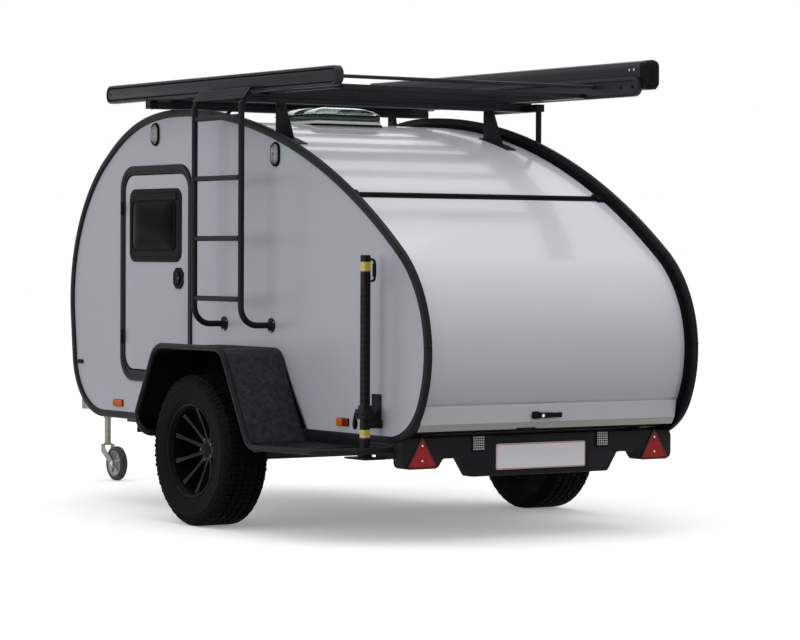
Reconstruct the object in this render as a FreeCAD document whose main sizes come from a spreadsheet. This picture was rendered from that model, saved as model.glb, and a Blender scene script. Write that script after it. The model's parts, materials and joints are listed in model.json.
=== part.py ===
import FreeCAD, Part
import Sketcher
import math
import os
import re

# A two-berth teardrop trailer: hollow body between two black edge trims, side doors, rear galley hatch,
# roof rack with two awning cases, ladder, mudguards, torsion axle, A-frame drawbar and jockey wheel.
# Frame: +X forward, +Y left, +Z up, ground at z = 0, origin under the middle of the overall length.
# Lengths along X in the tables are counted from the axle line, and axle_x puts the axle in the frame.

doc = FreeCAD.newDocument("TeardropTrailer")
sheet = doc.addObject("Spreadsheet::Sheet", "Sizes")
aliases = []
followers = {}
nodes = {}
Vec = FreeCAD.Vector


# ---- helpers: the sheet -------------------------------------------------------------------------

def addSizes(rows):
    """Add named sizes to the sheet. Columns: alias, value in mm or degrees, meaning."""
    for alias, value, meaning in rows:
        aliases.append(alias)
        row = len(aliases)
        sheet.set("A%d" % row, meaning)
        sheet.set("B%d" % row, str(value))
        sheet.setAlias("B%d" % row, alias)
    doc.recompute()


def follow(rows):
    """Name sizes that follow others. Columns: name, expression, meaning."""
    for name, text, meaning in rows:
        followers[name] = "(" + writtenOut(text) + ")"


def writtenOut(text):
    """The same expression with every following size written out in aliases."""
    return re.sub(r"[a-z][a-z_0-9]*", lambda word: followers.get(word.group(), word.group()), text)


def bound(text):
    """The same expression with every alias written as a reference to the sheet."""
    return re.sub(r"[a-z][a-z_0-9]*",
                  lambda word: ("Sizes." if word.group() in aliases else "") + word.group(),
                  writtenOut(text))


def num(text):
    """The value of an expression of aliases."""
    return float(sheet.evalExpression(writtenOut(text)))


def fromAxle(text):
    """A length counted from the axle line, as a place in the frame."""
    return "axle_x + (" + text + ")"


def place(thing, x, y, z):
    """Tie an object's base point to the sheet."""
    for axis, text in zip("xyz", (x, y, z)):
        thing.setExpression("Placement.Base." + axis, bound(text))


# ---- helpers: outlines --------------------------------------------------------------------------

def roundCorner(before, corner, after, radius):
    """Where an arc of this radius leaves the two runs at a corner, and its centre."""
    toBefore = (before - corner).normalize()
    toAfter = (after - corner).normalize()
    half = toBefore.getAngle(toAfter) / 2
    reach = radius / math.tan(half)
    middle = (toBefore + toAfter).normalize()
    return corner + toBefore * reach, corner + toAfter * reach, corner + middle * (radius / math.sin(half))


def drawLoop(sketch, corners):
    """Draw a closed loop of straight runs; a corner is (x, y), or (x, y, radius) where it is rounded.
    Each corner and radius is tied to the sheet."""
    points = [Vec(num(corner[0]), num(corner[1]), 0) for corner in corners]
    count = len(points)
    enter, leave, centres = [], [], []
    for i, corner in enumerate(corners):
        if len(corner) == 3:
            ahead = points[(i + 1) % count]
            first, last, centre = roundCorner(points[i - 1], points[i], ahead, num(corner[2]))
        else:
            first, last, centre = points[i], points[i], None
        enter.append(first)
        leave.append(last)
        centres.append(centre)
    runs = [sketch.addGeometry(Part.LineSegment(leave[i], enter[(i + 1) % count]), False)
            for i in range(count)]
    ties = []
    for i, corner in enumerate(corners):
        if centres[i] is None:
            ties.append((Sketcher.Constraint("Coincident", runs[i - 1], 2, runs[i], 1), None))
            anchor = runs[i]
        else:
            radius = num(corner[2])
            turnsLeft = (points[i] - points[i - 1]).cross(points[(i + 1) % count] - points[i]).z > 0
            ends = (enter[i], leave[i]) if turnsLeft else (leave[i], enter[i])
            angles = [math.atan2((end - centres[i]).y, (end - centres[i]).x) for end in ends]
            circle = Part.Circle(centres[i], Vec(0, 0, 1), radius)
            arc = sketch.addGeometry(Part.ArcOfCircle(circle, angles[0], angles[1]), False)
            start, end = (1, 2) if turnsLeft else (2, 1)
            anchor = sketch.addGeometry(Part.Point(points[i]), True)
            ties.append((Sketcher.Constraint("Tangent", runs[i - 1], 2, arc, start), None))
            ties.append((Sketcher.Constraint("Tangent", arc, end, runs[i], 1), None))
            ties.append((Sketcher.Constraint("Radius", arc, radius), corner[2]))
            ties.append((Sketcher.Constraint("PointOnObject", anchor, 1, runs[i - 1]), None))
            ties.append((Sketcher.Constraint("PointOnObject", anchor, 1, runs[i]), None))
        ties.append((Sketcher.Constraint("DistanceX", anchor, 1, points[i].x), corner[0]))
        ties.append((Sketcher.Constraint("DistanceY", anchor, 1, points[i].y), corner[1]))
    numbers = sketch.addConstraint([constraint for constraint, text in ties])
    for number, (constraint, text) in zip(numbers, ties):
        if text is not None:
            sketch.setExpression("Constraints[%d]" % number, bound(text))


def drawCircle(sketch, x, y, radius):
    """Draw a circle tied to the sheet."""
    circle = sketch.addGeometry(Part.Circle(Vec(num(x), num(y), 0), Vec(0, 0, 1), num(radius)), False)
    ties = (("DistanceX", num(x), x), ("DistanceY", num(y), y))
    for kind, value, text in ties:
        number = sketch.addConstraint(Sketcher.Constraint(kind, circle, 3, value))
        sketch.setExpression("Constraints[%d]" % number, bound(text))
    number = sketch.addConstraint(Sketcher.Constraint("Radius", circle, num(radius)))
    sketch.setExpression("Constraints[%d]" % number, bound(radius))


def rectangle(lowX, lowY, highX, highY, radius=None):
    """The four corners of a rectangle, rounded if a radius is given."""
    corners = [(lowX, lowY), (highX, lowY), (highX, highY), (lowX, highY)]
    return [corner + (radius,) for corner in corners] if radius else corners


# ---- helpers: solids ----------------------------------------------------------------------------

facings = {
    "x": FreeCAD.Rotation(Vec(1, 1, 1), 120),   # sketch axes lie along Y and Z, and a pad grows along +X
    "y": FreeCAD.Rotation(Vec(1, 0, 0), 90),    # sketch axes lie along X and Z, and a pad grows along -Y
    "z": FreeCAD.Rotation(),                    # sketch axes lie along X and Y, and a pad grows along +Z
}


def newBody(name, x, y, z, facing="z"):
    """A PartDesign body at a tied place, turned so that its sketches face along an axis."""
    body = doc.addObject("PartDesign::Body", name)
    body.Label = name
    body.Placement = FreeCAD.Placement(Vec(), facings[facing])
    place(body, x, y, z)
    return body


def sketchIn(body, name, loops=(), circles=(), lift=None):
    """A sketch on the body's own XY plane, with its loops and circles."""
    sketch = body.newObject("Sketcher::SketchObject", name)
    plane = [part for part in body.Origin.OriginFeatures if part.Role == "XY_Plane"][0]
    sketch.AttachmentSupport = [(plane, "")]
    sketch.MapMode = "FlatFace"
    if lift:
        sketch.setExpression("AttachmentOffset.Base.z", bound(lift))
    for loop in loops:
        drawLoop(sketch, loop)
    for circle in circles:
        drawCircle(sketch, *circle)
    return sketch


def padOn(body, name, length, loops=(), circles=(), lift=None):
    """Grow a pad of this length from a sketch."""
    pad = body.newObject("PartDesign::Pad", name)
    pad.Profile = sketchIn(body, name + "_sketch", loops, circles, lift)
    pad.setExpression("Length", bound(length))
    return pad


def plate(name, x, y, z, facing, length, loops=(), circles=()):
    """A body that is one pad."""
    body = newBody(name, x, y, z, facing)
    padOn(body, name + "_pad", length, loops, circles)
    return body


def pocketIn(body, name, length, loops=(), circles=(), lift=None, reverse=True):
    """Cut a pocket; reversed, it cuts along the way that the pads grow."""
    pocket = body.newObject("PartDesign::Pocket", name)
    pocket.Profile = sketchIn(body, name + "_sketch", loops, circles, lift)
    pocket.setExpression("Length", bound(length))
    pocket.Reversed = reverse
    return pocket


def revolved(name, x, y, z, loops, facing="z"):
    """A body turned about its own Y axis from loops of (radius, height)."""
    body = newBody(name, x, y, z, facing)
    turn = body.newObject("PartDesign::Revolution", name + "_turn")
    sketch = sketchIn(body, name + "_sketch", loops)
    turn.Profile = sketch
    turn.ReferenceAxis = (sketch, ["V_Axis"])
    turn.Angle = 360
    return body


def box(name, x, y, z, length, width, height):
    """A Part box from its low corner."""
    block = doc.addObject("Part::Box", name)
    for side, text in (("Length", length), ("Width", width), ("Height", height)):
        block.setExpression(side, bound(text))
    place(block, x, y, z)
    return block


def rod(name, x, y, z, facing, radius, length):
    """A Part cylinder that grows along +X, -Y or +Z."""
    cylinder = doc.addObject("Part::Cylinder", name)
    cylinder.setExpression("Radius", bound(radius))
    cylinder.setExpression("Height", bound(length))
    cylinder.Placement = FreeCAD.Placement(Vec(), facings[facing])
    place(cylinder, x, y, z)
    return cylinder


def cut(name, base, tool):
    """Base less tool."""
    result = doc.addObject("Part::Cut", name)
    result.Base = base
    result.Tool = tool
    return result


def common(name, one, other):
    """What two shapes share."""
    result = doc.addObject("Part::Common", name)
    result.Base = one
    result.Tool = other
    return result


def fused(name, shapes):
    """Several shapes made one."""
    result = doc.addObject("Part::MultiFuse", name)
    result.Shapes = shapes
    result.Refine = True
    return result


def grouped(name, shapes):
    """Like pieces that don't touch, kept as separate solids of one node."""
    result = doc.addObject("Part::Compound", name)
    result.Links = shapes
    return result


def mirrored(name, source):
    """The same piece on the other side of the centre plane."""
    result = doc.addObject("Part::Mirroring", name)
    result.Source = source
    result.Normal = Vec(0, 1, 0)
    return result


def tube(name, points, bend, radius):
    """A round tube along straight runs joined by bends. Points are expressions, bend and radius too."""
    route = [Vec(num(x), num(y), num(z)) for x, y, z in points]
    edges = []
    here = route[0]
    for before, corner, after in zip(route, route[1:], route[2:]):
        first, last, centre = roundCorner(before, corner, after, num(bend))
        middle = centre + (corner - centre).normalize() * num(bend)
        edges.append(Part.LineSegment(here, first).toShape())
        edges.append(Part.Arc(first, middle, last).toShape())
        here = last
    edges.append(Part.LineSegment(here, route[-1]).toShape())
    ring = Part.Wire([Part.Circle(route[0], route[1] - route[0], num(radius)).toShape()])
    thing = doc.addObject("Part::Feature", name)
    thing.Shape = Part.Wire(edges).makePipeShell([ring], True, False)
    return thing


def keep(name, thing):
    """Name a finished piece as a node."""
    thing.Label = name
    nodes[name] = thing
    return thing


# ---- body outline -------------------------------------------------------------------------------

addSizes([
    ("floor_line", 454, "underside of the body above the ground"),
    ("nose_low_x", 1803, "front low corner"),
    ("nose_low_bend", 343, "its radius"),
    ("nose_high_x", 1912, "front high corner"),
    ("nose_high_z", 1533, "its height"),
    ("nose_high_bend", 913, "its radius"),
    ("brow_x", 1208, "corner between nose and roof"),
    ("brow_z", 2007, "its height"),
    ("brow_bend", 1060, "its radius"),
    ("crown_x", 834, "corner at the top of the roof"),
    ("crown_z", 2063, "its height"),
    ("crown_bend", 1600, "its radius"),
    ("back_x", -453, "corner between roof and rear slope"),
    ("back_z", 2040, "its height"),
    ("back_bend", 3340, "its radius"),
    ("tail_high_x", -1695, "corner at the top of the tail"),
    ("tail_high_z", 1067, "its height"),
    ("tail_high_bend", 600, "its radius"),
    ("tail_low_x", -1439, "rear low corner"),
    ("tail_low_bend", 300, "its radius"),
    ("coupling_reach", 3150, "front of the coupling ahead of the axle"),
    ("half_width", 788, "outer face of the edge trims from the centre plane"),
    ("trim_width", 38, "width of the edge trim across its face"),
    ("trim_deep", 28, "width of the edge trim along Y"),
    ("trim_proud", 12, "how far the trim stands out of the side panel"),
    ("wall", 30, "thickness of the side panels"),
    ("skin_drop", 52, "roof skin below the trim's outer edge"),
    ("shell", 30, "thickness of roof, front and hatch"),
    ("floor_thick", 23, "thickness of the floor"),
])

# Columns: corner x, corner z, radius, from the front low corner over the roof to the rear low corner.
outlineCorners = [
    ("nose_low_x", "floor_line", "nose_low_bend"),
    ("nose_high_x", "nose_high_z", "nose_high_bend"),
    ("brow_x", "brow_z", "brow_bend"),
    ("crown_x", "crown_z", "crown_bend"),
    ("back_x", "back_z", "back_bend"),
    ("tail_high_x", "tail_high_z", "tail_high_bend"),
    ("tail_low_x", "floor_line", "tail_low_bend"),
]


def outlineArcs():
    """Centre and radius of each arc of the outline, with the two ends, in X and Z from the axle."""
    points = [Vec(num(x), num(z), 0) for x, z, bend in outlineCorners]
    arcs = []
    for i, corner in enumerate(outlineCorners):
        radius = num(corner[2])
        first, last, centre = roundCorner(points[i - 1], points[i], points[(i + 1) % len(points)], radius)
        arcs.append((centre, radius, first, last))
    return arcs


def skinPoint(x, inset):
    """Height and slope, in degrees, of the upper outline at x, moved in by an inset."""
    upper = outlineArcs()[1:6]
    best = None
    for centre, radius, first, last in upper:
        away = x - centre.x
        if abs(away) < radius - inset:
            height = centre.y + math.sqrt((radius - inset) ** 2 - away ** 2)
            tilt = math.degrees(math.atan2(away, height - centre.y))
            ends = [math.degrees(math.atan2(end.x - centre.x, end.y - centre.y)) for end in (first, last)]
            if min(ends) - 2 <= tilt <= max(ends) + 2 and (best is None or height < best[0]):
                best = (height, tilt)
    return best


tailArc = outlineArcs()[5]
addSizes([
    ("axle_x", round((tailArc[1] - tailArc[0].x - num("coupling_reach")) / 2, 3),
     "axle line from the middle of the overall length: half of tail reach less coupling reach"),
])

outline = doc.addObject("Sketcher::SketchObject", "body_outline")
outline.Placement = FreeCAD.Placement(Vec(), facings["y"])
drawLoop(outline, outlineCorners)
place(outline, "axle_x", "0", "0")
doc.recompute()


def slab(name, inset, low, high):
    """The space inside the outline, moved in by an inset, between two places along Y."""
    base = outline
    if inset:
        base = doc.addObject("Part::Offset2D", name + "_edge")
        base.Source = outline
        base.setExpression("Value", bound("-(" + inset + ")"))
        base.Join = "Intersection"
    solid = doc.addObject("Part::Extrusion", name)
    solid.Base = base
    solid.DirMode = "Custom"
    solid.Dir = Vec(0, 1, 0)
    solid.Solid = True
    solid.setExpression("LengthFwd", bound(high))
    solid.setExpression("LengthRev", bound("-(" + low + ")"))
    return solid


def band(name, outer, inner, low, high):
    """The band between two insets of the outline."""
    return cut(name, slab(name + "_outer", outer, low, high), slab(name + "_inner", inner, low, high))


def zone(name, corners, halfSpan):
    """A prism across the trailer from corners in X and Z from the axle."""
    return plate(name, "axle_x", halfSpan, "0", "y", "2 * (" + halfSpan + ")", [corners])


panelOut = "(half_width - trim_proud)"
panelIn = "(half_width - trim_proud - wall)"

trimLeft = keep("trim_left", band("trim_left", "", "trim_width", "half_width - trim_deep", "half_width"))
keep("trim_right", mirrored("trim_right", trimLeft))

# ---- roof, hatch, floor and bulkhead ------------------------------------------------------------

addSizes([
    ("hinge_run", -855, "hatch hinge line"),
    ("hinge_rod", 11.7, "radius of the hinge cover"),
    ("hinge_gap", 12, "hinge line to the edges of roof and hatch"),
    ("hatch_side_gap", 5, "hatch to the side panels' inner faces"),
    ("hatch_low_gap", 5, "hatch's low edge above the floor"),
    ("bulkhead_x", -420, "front face of the galley bulkhead"),
    ("bulkhead_thick", 15, "its thickness"),
    ("bulkhead_gap", 0.3, "its clearance under the roof"),
    ("skylight_rear", 280, "rear edge of the roof light"),
    ("skylight_length", 440, "its length"),
    ("skylight_width", 410, "its width"),
    ("skylight_top", 2038, "top of its frame"),
    ("skylight_dome", 38, "height of its dome"),
    ("skylight_edge", 28, "frame to dome, and frame to the hole in the roof"),
])
hingeHeight, hingeTilt = skinPoint(num("hinge_run"), num("skin_drop"))
tiltSine = -math.sin(math.radians(hingeTilt))
tiltCosine = math.cos(math.radians(hingeTilt))
addSizes([
    ("hinge_z", round(hingeHeight, 3), "hinge line on the roof skin"),
    ("slope_sine", round(tiltSine, 6), "sine of the skin's slope at the hinge"),
    ("slope_cosine", round(tiltCosine, 6), "its cosine"),
])


def seam(along, out):
    """A point near the hinge line: along the skin towards the front, and out of the skin."""
    return ("hinge_run + (%s) * slope_cosine - (%s) * slope_sine" % (along, out),
            "hinge_z + (%s) * slope_sine + (%s) * slope_cosine" % (along, out))


clear = "3 * shell"
hatchZone = zone("hatch_zone", [
    seam("-hinge_gap", clear),
    ("2 * tail_high_x", "hinge_z + 3 * shell"),
    ("2 * tail_high_x", "floor_line + trim_width + floor_thick + hatch_low_gap"),
    ("hinge_run + shell", "floor_line + trim_width + floor_thick + hatch_low_gap"),
    seam("-hinge_gap", "-" + clear),
], "half_width")
roofZone = zone("roof_zone", [
    seam("hinge_gap", clear),
    seam("hinge_gap", "-" + clear),
    ("nose_low_x - nose_low_bend - shell", "floor_line + nose_low_bend"),
    ("nose_low_x - nose_low_bend - shell", "floor_line + trim_width + floor_thick"),
    ("2 * nose_high_x", "floor_line + trim_width + floor_thick"),
    ("2 * nose_high_x", "2 * crown_z"),
    ("hinge_run", "2 * crown_z"),
], "half_width")

roofShell = common("roof_shell", band("roof_band", "skin_drop", "skin_drop + shell", "-" + panelIn, panelIn),
                   roofZone)
skylightHole = box("skylight_hole", fromAxle("skylight_rear + skylight_edge"),
                   "skylight_edge - skylight_width / 2", "skylight_top - 4 * shell",
                   "skylight_length - 2 * skylight_edge", "skylight_width - 2 * skylight_edge", "5 * shell")
keep("roof_panel", cut("roof_panel", roofShell, skylightHole))

hatchHalf = "(" + panelIn + " - hatch_side_gap)"
keep("hatch", common("hatch", band("hatch_band", "skin_drop", "skin_drop + shell", "-" + hatchHalf, hatchHalf),
                     hatchZone))
keep("hatch_hinge", rod("hatch_hinge", fromAxle("hinge_run"), hatchHalf, "hinge_z", "y", "hinge_rod",
                        "2 * " + hatchHalf))

floorLayer = box("floor_layer", fromAxle("2 * tail_high_x"), "-" + panelIn, "floor_line",
                 "2 * nose_high_x - 2 * tail_high_x", "2 * " + panelIn, "trim_width + floor_thick")
keep("floor_panel", common("floor_panel", slab("floor_slab", "trim_width", "-" + panelIn, panelIn), floorLayer))

bulkheadLayer = box("bulkhead_layer", fromAxle("bulkhead_x - bulkhead_thick"), "-half_width",
                    "floor_line + trim_width + floor_thick", "bulkhead_thick", "2 * half_width", "crown_z")
keep("galley_bulkhead", common("galley_bulkhead",
                               slab("bulkhead_slab", "skin_drop + shell + bulkhead_gap", "-" + panelIn, panelIn),
                               bulkheadLayer))

skinSolid = slab("skin_solid", "skin_drop", "-half_width", "half_width")
skylightBlock = plate("skylight_block", fromAxle("skylight_rear"), "-skylight_width / 2", "skylight_top - 3 * shell",
                      "z", "3 * shell", [
                          rectangle("0", "0", "skylight_length", "skylight_width", "skylight_edge"),
                          rectangle("skylight_edge", "skylight_edge", "skylight_length - skylight_edge",
                                    "skylight_width - skylight_edge"),
                      ])
keep("skylight_frame", cut("skylight_frame", skylightBlock, skinSolid))
dome = newBody("skylight_dome", fromAxle("skylight_rear"), "-skylight_width / 2", "skylight_top")
padOn(dome, "dome_lip", "skylight_dome / 4",
      [rectangle("3", "3", "skylight_length - 3", "skylight_width - 3", "skylight_edge")])
padOn(dome, "dome_top", "skylight_dome",
      [rectangle("skylight_edge", "skylight_edge", "skylight_length - skylight_edge",
                 "skylight_width - skylight_edge", "skylight_edge")])
keep("skylight_dome", dome)

# ---- side panels and doors ----------------------------------------------------------------------

addSizes([
    ("door_rear", 594, "rear edge of the door"),
    ("door_front", 1249, "front edge of the door"),
    ("door_low", 720, "low edge of the door"),
    ("door_high", 1732, "high edge of the door"),
    ("door_bend", 85, "radius of its corners"),
    ("door_gap", 5, "gap round the door"),
    ("door_proud", 4, "door face out of the side panel"),
    ("door_thick", 31, "thickness of the door"),
    ("frame_side", 40, "door frame beyond the door at front and rear"),
    ("frame_end", 50, "door frame beyond the door above and below"),
    ("frame_bend", 125, "outer radius of the door frame"),
    ("frame_sill", 12, "extra height of the frame under the door"),
    ("frame_leaf", 10, "extra width of the frame ahead of the door"),
    ("frame_thick", 10, "door frame out of the side panel"),
    ("knuckle_radius", 7, "radius of a door hinge knuckle"),
    ("knuckle_length", 70, "its length"),
    ("knuckle_ahead", 20, "hinge line ahead of the door's front edge"),
    ("knuckle_out", 16, "hinge line out of the side panel"),
    ("knuckle_gap", 0.3, "hinge strap to knuckle"),
    ("strap_reach", 42, "length of the hinge strap on the door"),
    ("hinge_inset", 170, "door hinges from the door's ends"),
    ("window_from_rear", 61, "door's rear edge to the window"),
    ("window_from_front", 51, "door's front edge to the window"),
    ("window_tall", 379, "height of the window"),
    ("window_from_high", 72, "door's high edge to the window"),
    ("window_bend", 55, "radius of its corners"),
    ("window_edge", 58, "width of its frame"),
    ("window_lap", 18, "how far its frame laps over the door"),
    ("pane_thick", 5, "thickness of the pane"),
    ("window_rim", 4, "rim of the window frame out of the pane"),
    ("latch_from_rear", 90, "door's rear edge to the middle of the latch"),
    ("latch_drop", 82, "window's low edge to the middle of the latch"),
    ("latch_wide", 104, "its width"),
    ("latch_high", 110, "its height"),
    ("latch_deep", 8, "its base plate's thickness"),
    ("paddle_deep", 10, "its paddle's thickness"),
    ("paddle_edge", 24, "paddle from the edge of the base plate"),
])
follow([
    ("window_rear", "door_rear + window_from_rear", "rear edge of the window"),
    ("window_front", "door_front - window_from_front", "front edge of the window"),
    ("window_low", "door_high - window_from_high - window_tall", "low edge of the window"),
    ("window_high", "door_high - window_from_high", "high edge of the window"),
    ("latch_x", "door_rear + latch_from_rear", "middle of the door latch"),
    ("latch_z", "window_low - latch_drop", "its height"),
])

doorRect = ("door_rear", "door_low", "door_front", "door_high")
holeLoop = rectangle("door_rear - door_gap", "door_low - door_gap", "door_front + door_gap",
                     "door_high + door_gap", "door_bend + door_gap")
panelSlab = slab("panel_slab", "trim_width", panelIn, panelOut)
doorHole = plate("door_hole", "axle_x", "half_width", "0", "y", "2 * wall", [holeLoop])
sideLeft = keep("side_panel_left", cut("side_panel_left", panelSlab, doorHole))
keep("side_panel_right", mirrored("side_panel_right", sideLeft))

frameRing = plate("frame_ring", "axle_x", panelOut + " + frame_thick", "0", "y", "frame_thick", [
    rectangle("door_rear - frame_side", "door_low - frame_end - frame_sill", "door_front + frame_side + frame_leaf",
              "door_high + frame_end", "frame_bend"),
    holeLoop,
])
knuckles = []
straps = []
for end, height in (("low", "door_low + hinge_inset"), ("high", "door_high - hinge_inset")):
    knuckles.append(rod("knuckle_" + end, fromAxle("door_front + knuckle_ahead"), panelOut + " + knuckle_out",
                        height + " - knuckle_length / 2", "z", "knuckle_radius", "knuckle_length"))
    straps.append(box("strap_foot_" + end, fromAxle("door_front - strap_reach"), panelOut + " + door_proud",
                      height + " - knuckle_length / 2", "strap_reach", "knuckle_out - door_proud",
                      "knuckle_length"))
    straps.append(box("strap_arm_" + end, fromAxle("door_front - 1"), panelOut + " + frame_thick + 1",
                      height + " - knuckle_length / 2",
                      "knuckle_ahead + 1 - knuckle_radius - knuckle_gap", "knuckle_out - frame_thick - 1",
                      "knuckle_length"))
frameLeft = keep("door_frame_left", fused("door_frame_left", [frameRing] + knuckles))
keep("door_frame_right", mirrored("door_frame_right", frameLeft))

doorSlab = newBody("door_slab", "axle_x", panelOut + " + door_proud", "0", "y")
padOn(doorSlab, "door_pad", "door_thick", [
    rectangle(*doorRect, "door_bend"),
    rectangle("window_rear + window_lap", "window_low + window_lap", "window_front - window_lap",
              "window_high - window_lap", "window_bend - window_lap"),
])
doorLeft = keep("door_left", fused("door_left", [doorSlab] + straps))
keep("door_right", mirrored("door_right", doorLeft))

windowLeft = newBody("door_window_left", "axle_x", panelOut + " + door_proud + pane_thick + window_rim", "0", "y")
padOn(windowLeft, "window_rim_pad", "window_rim", [
    rectangle("window_rear", "window_low", "window_front", "window_high", "window_bend"),
    rectangle("window_rear + window_edge", "window_low + window_edge", "window_front - window_edge",
              "window_high - window_edge", "window_bend / 2"),
])
padOn(windowLeft, "window_pane_pad", "pane_thick",
      [rectangle("window_rear", "window_low", "window_front", "window_high", "window_bend")], lift="window_rim")
keep("door_window_left", windowLeft)
keep("door_window_right", mirrored("door_window_right", windowLeft))

latchLeft = newBody("door_latch_left", fromAxle("latch_x"), panelOut + " + door_proud + latch_deep + paddle_deep",
                    "latch_z", "y")
padOn(latchLeft, "latch_paddle", "paddle_deep", [
    rectangle("paddle_edge - latch_wide / 2", "paddle_edge - latch_high / 2", "latch_wide / 2 - paddle_edge",
              "latch_high / 2 - paddle_edge", "paddle_edge / 3")])
padOn(latchLeft, "latch_base", "latch_deep", [
    rectangle("-latch_wide / 2", "-latch_high / 2", "latch_wide / 2", "latch_high / 2", "paddle_edge")],
    lift="paddle_deep")
keep("door_latch_left", latchLeft)
keep("door_latch_right", mirrored("door_latch_right", latchLeft))

# ---- lamps on the sides -------------------------------------------------------------------------

addSizes([
    ("lamp_high", 120, "height of an oval side lamp"),
    ("lamp_wide", 80, "its width"),
    ("lamp_deep", 18, "its depth"),
    ("marker_long", 100, "length of a low marker lamp"),
    ("marker_high", 38, "its height"),
    ("marker_deep", 13, "its depth"),
])
# Columns: name, x from the axle, z.
lampPlaces = [("front", "934", "1940"), ("rear", "-248", "1807")]
markerPlaces = [("front", "1325", "535"), ("rear", "-858", "540")]
lamps = []
markers = []
for name, x, z in lampPlaces:
    lamp = plate("side_lamp_" + name, fromAxle(x), panelOut + " + lamp_deep", z, "y", "lamp_deep", [
        rectangle("-lamp_wide / 2", "-lamp_high / 2", "lamp_wide / 2", "lamp_high / 2", "lamp_wide / 2 - 1")])
    lamps += [lamp, mirrored("side_lamp_right_" + name, lamp)]
for name, x, z in markerPlaces:
    marker = plate("marker_" + name, fromAxle(x), panelOut + " + marker_deep", z, "y", "marker_deep", [
        rectangle("-marker_long / 2", "-marker_high / 2", "marker_long / 2", "marker_high / 2", "marker_high / 4")])
    markers += [marker, mirrored("marker_right_" + name, marker)]
keep("side_lamps", grouped("side_lamps", lamps))
keep("marker_lamps", grouped("marker_lamps", markers))

# ---- roof rack, awnings and ladder --------------------------------------------------------------

addSizes([
    ("bar_low", 2066, "underside of the rack crossbars"),
    ("bar_high", 41, "height of a crossbar"),
    ("bar_deep", 65, "width of a crossbar along X"),
    ("bar_past", 57, "crossbars beyond the trims"),
    ("bar_front_x", 835, "middle of the front crossbar"),
    ("bar_rear_x", -52, "middle of the rear crossbar"),
    ("foot_in", 158, "rack feet in from the trims"),
    ("foot_thick", 6, "thickness of a foot plate"),
    ("foot_base", 60, "width of a foot's base strip"),
    ("foot_strip", 5, "thickness of the base strip"),
    ("deck_rear", -730, "rear edge of the rack deck"),
    ("deck_front", 1050, "front edge of the rack deck"),
    ("deck_in", 38, "rack deck in from the trims"),
    ("deck_thick", 23, "its thickness"),
    ("deck_edge", 45, "width of its side rails"),
    ("deck_bend", 25, "radius of its corners"),
    ("slat_count", 9, "number of cross slats"),
    ("slat_gap", 145, "open gap between slats"),
    ("awning_rear", -945, "rear end of the left awning case"),
    ("awning_front", 1285, "its front end"),
    ("awning_gap", 47, "left awning case out of the trim"),
    ("awning_deep", 45, "its depth"),
    ("awning_high", 94, "its height"),
    ("awning_bend", 42, "radius of its ends"),
    ("big_awning_rear", -1120, "rear end of the right awning case"),
    ("big_awning_front", 1400, "its front end"),
    ("big_awning_gap", 42, "right awning case out of the trim"),
    ("big_awning_deep", 76, "its depth"),
    ("big_awning_up", 33, "right awning case above the crossbars"),
    ("big_awning_high", 146, "its height"),
    ("big_awning_bend", 30, "radius of its edges"),
    ("shelf_wide", 60, "width of the shelves under the right awning case"),
    ("end_block", 50, "length along X of the bars' end blocks and shelves"),
    ("arm_rear", -1070, "rear end of the folded awning arm"),
    ("arm_front", 1200, "its front end"),
    ("arm_deep", 35, "its depth"),
    ("arm_high", 97, "its height"),
    ("arm_bend", 47, "radius of its ends"),
    ("tie_x", -730, "tube between the awnings"),
    ("tie_up", 58, "tie tube above the crossbars"),
    ("tie_radius", 11, "its radius"),
    ("stay_rear", -180, "rear end of the right side bar"),
    ("stay_front", 262, "its front end"),
    ("stay_wide", 50, "its width"),
    ("stay_low", 1700, "height of the wall flanges of the right stay"),
    ("post_inset", 16, "posts from the ends of the side bar"),
    ("rail_radius", 15, "radius of ladder rails and posts"),
    ("rail_front", 234, "front ladder rail"),
    ("rail_rear", -213, "rear ladder rail"),
    ("rail_out", 162, "ladder rails out of the trim"),
    ("rail_low", 978, "low wall flanges of the ladder"),
    ("rail_bend", 90, "radius of the ladder's low bends"),
    ("rail_drop", 21, "crossbars' underside to where the ladder leans in"),
    ("rail_lean", 44, "how far it leans in"),
    ("rung_radius", 13, "radius of a rung"),
    ("rung_first", 1105, "height of the lowest rung"),
    ("rung_pitch", 294, "distance between rungs"),
    ("flange_radius", 36, "radius of a wall flange"),
    ("flange_thick", 8, "its thickness"),
    ("tread_past", 22, "ladder's top tread beyond the rails"),
    ("brace_radius", 9, "radius of the ladder's brace"),
    ("brace_in", 76, "its inner end from the rails"),
    ("stay_bend", 45, "bend of the stay at the rear of the rack"),
])
follow([
    ("bar_half", "half_width + bar_past", "half the length of a crossbar"),
    ("foot_y", "half_width - foot_in", "rack foot from the centre plane"),
    ("deck_half", "half_width - deck_in", "half the width of the deck"),
    ("awning_in", "half_width + awning_gap", "its inner face"),
    ("big_awning_in", "half_width + big_awning_gap", "its inner face"),
    ("big_awning_low", "bar_low + bar_high + big_awning_up", "its underside"),
    ("tie_z", "bar_low + bar_high + tie_up", "its height"),
    ("rail_y", "half_width + rail_out", "ladder rails from the centre plane"),
    ("rail_top", "bar_low - rail_drop", "where the ladder leans in"),
])

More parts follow.
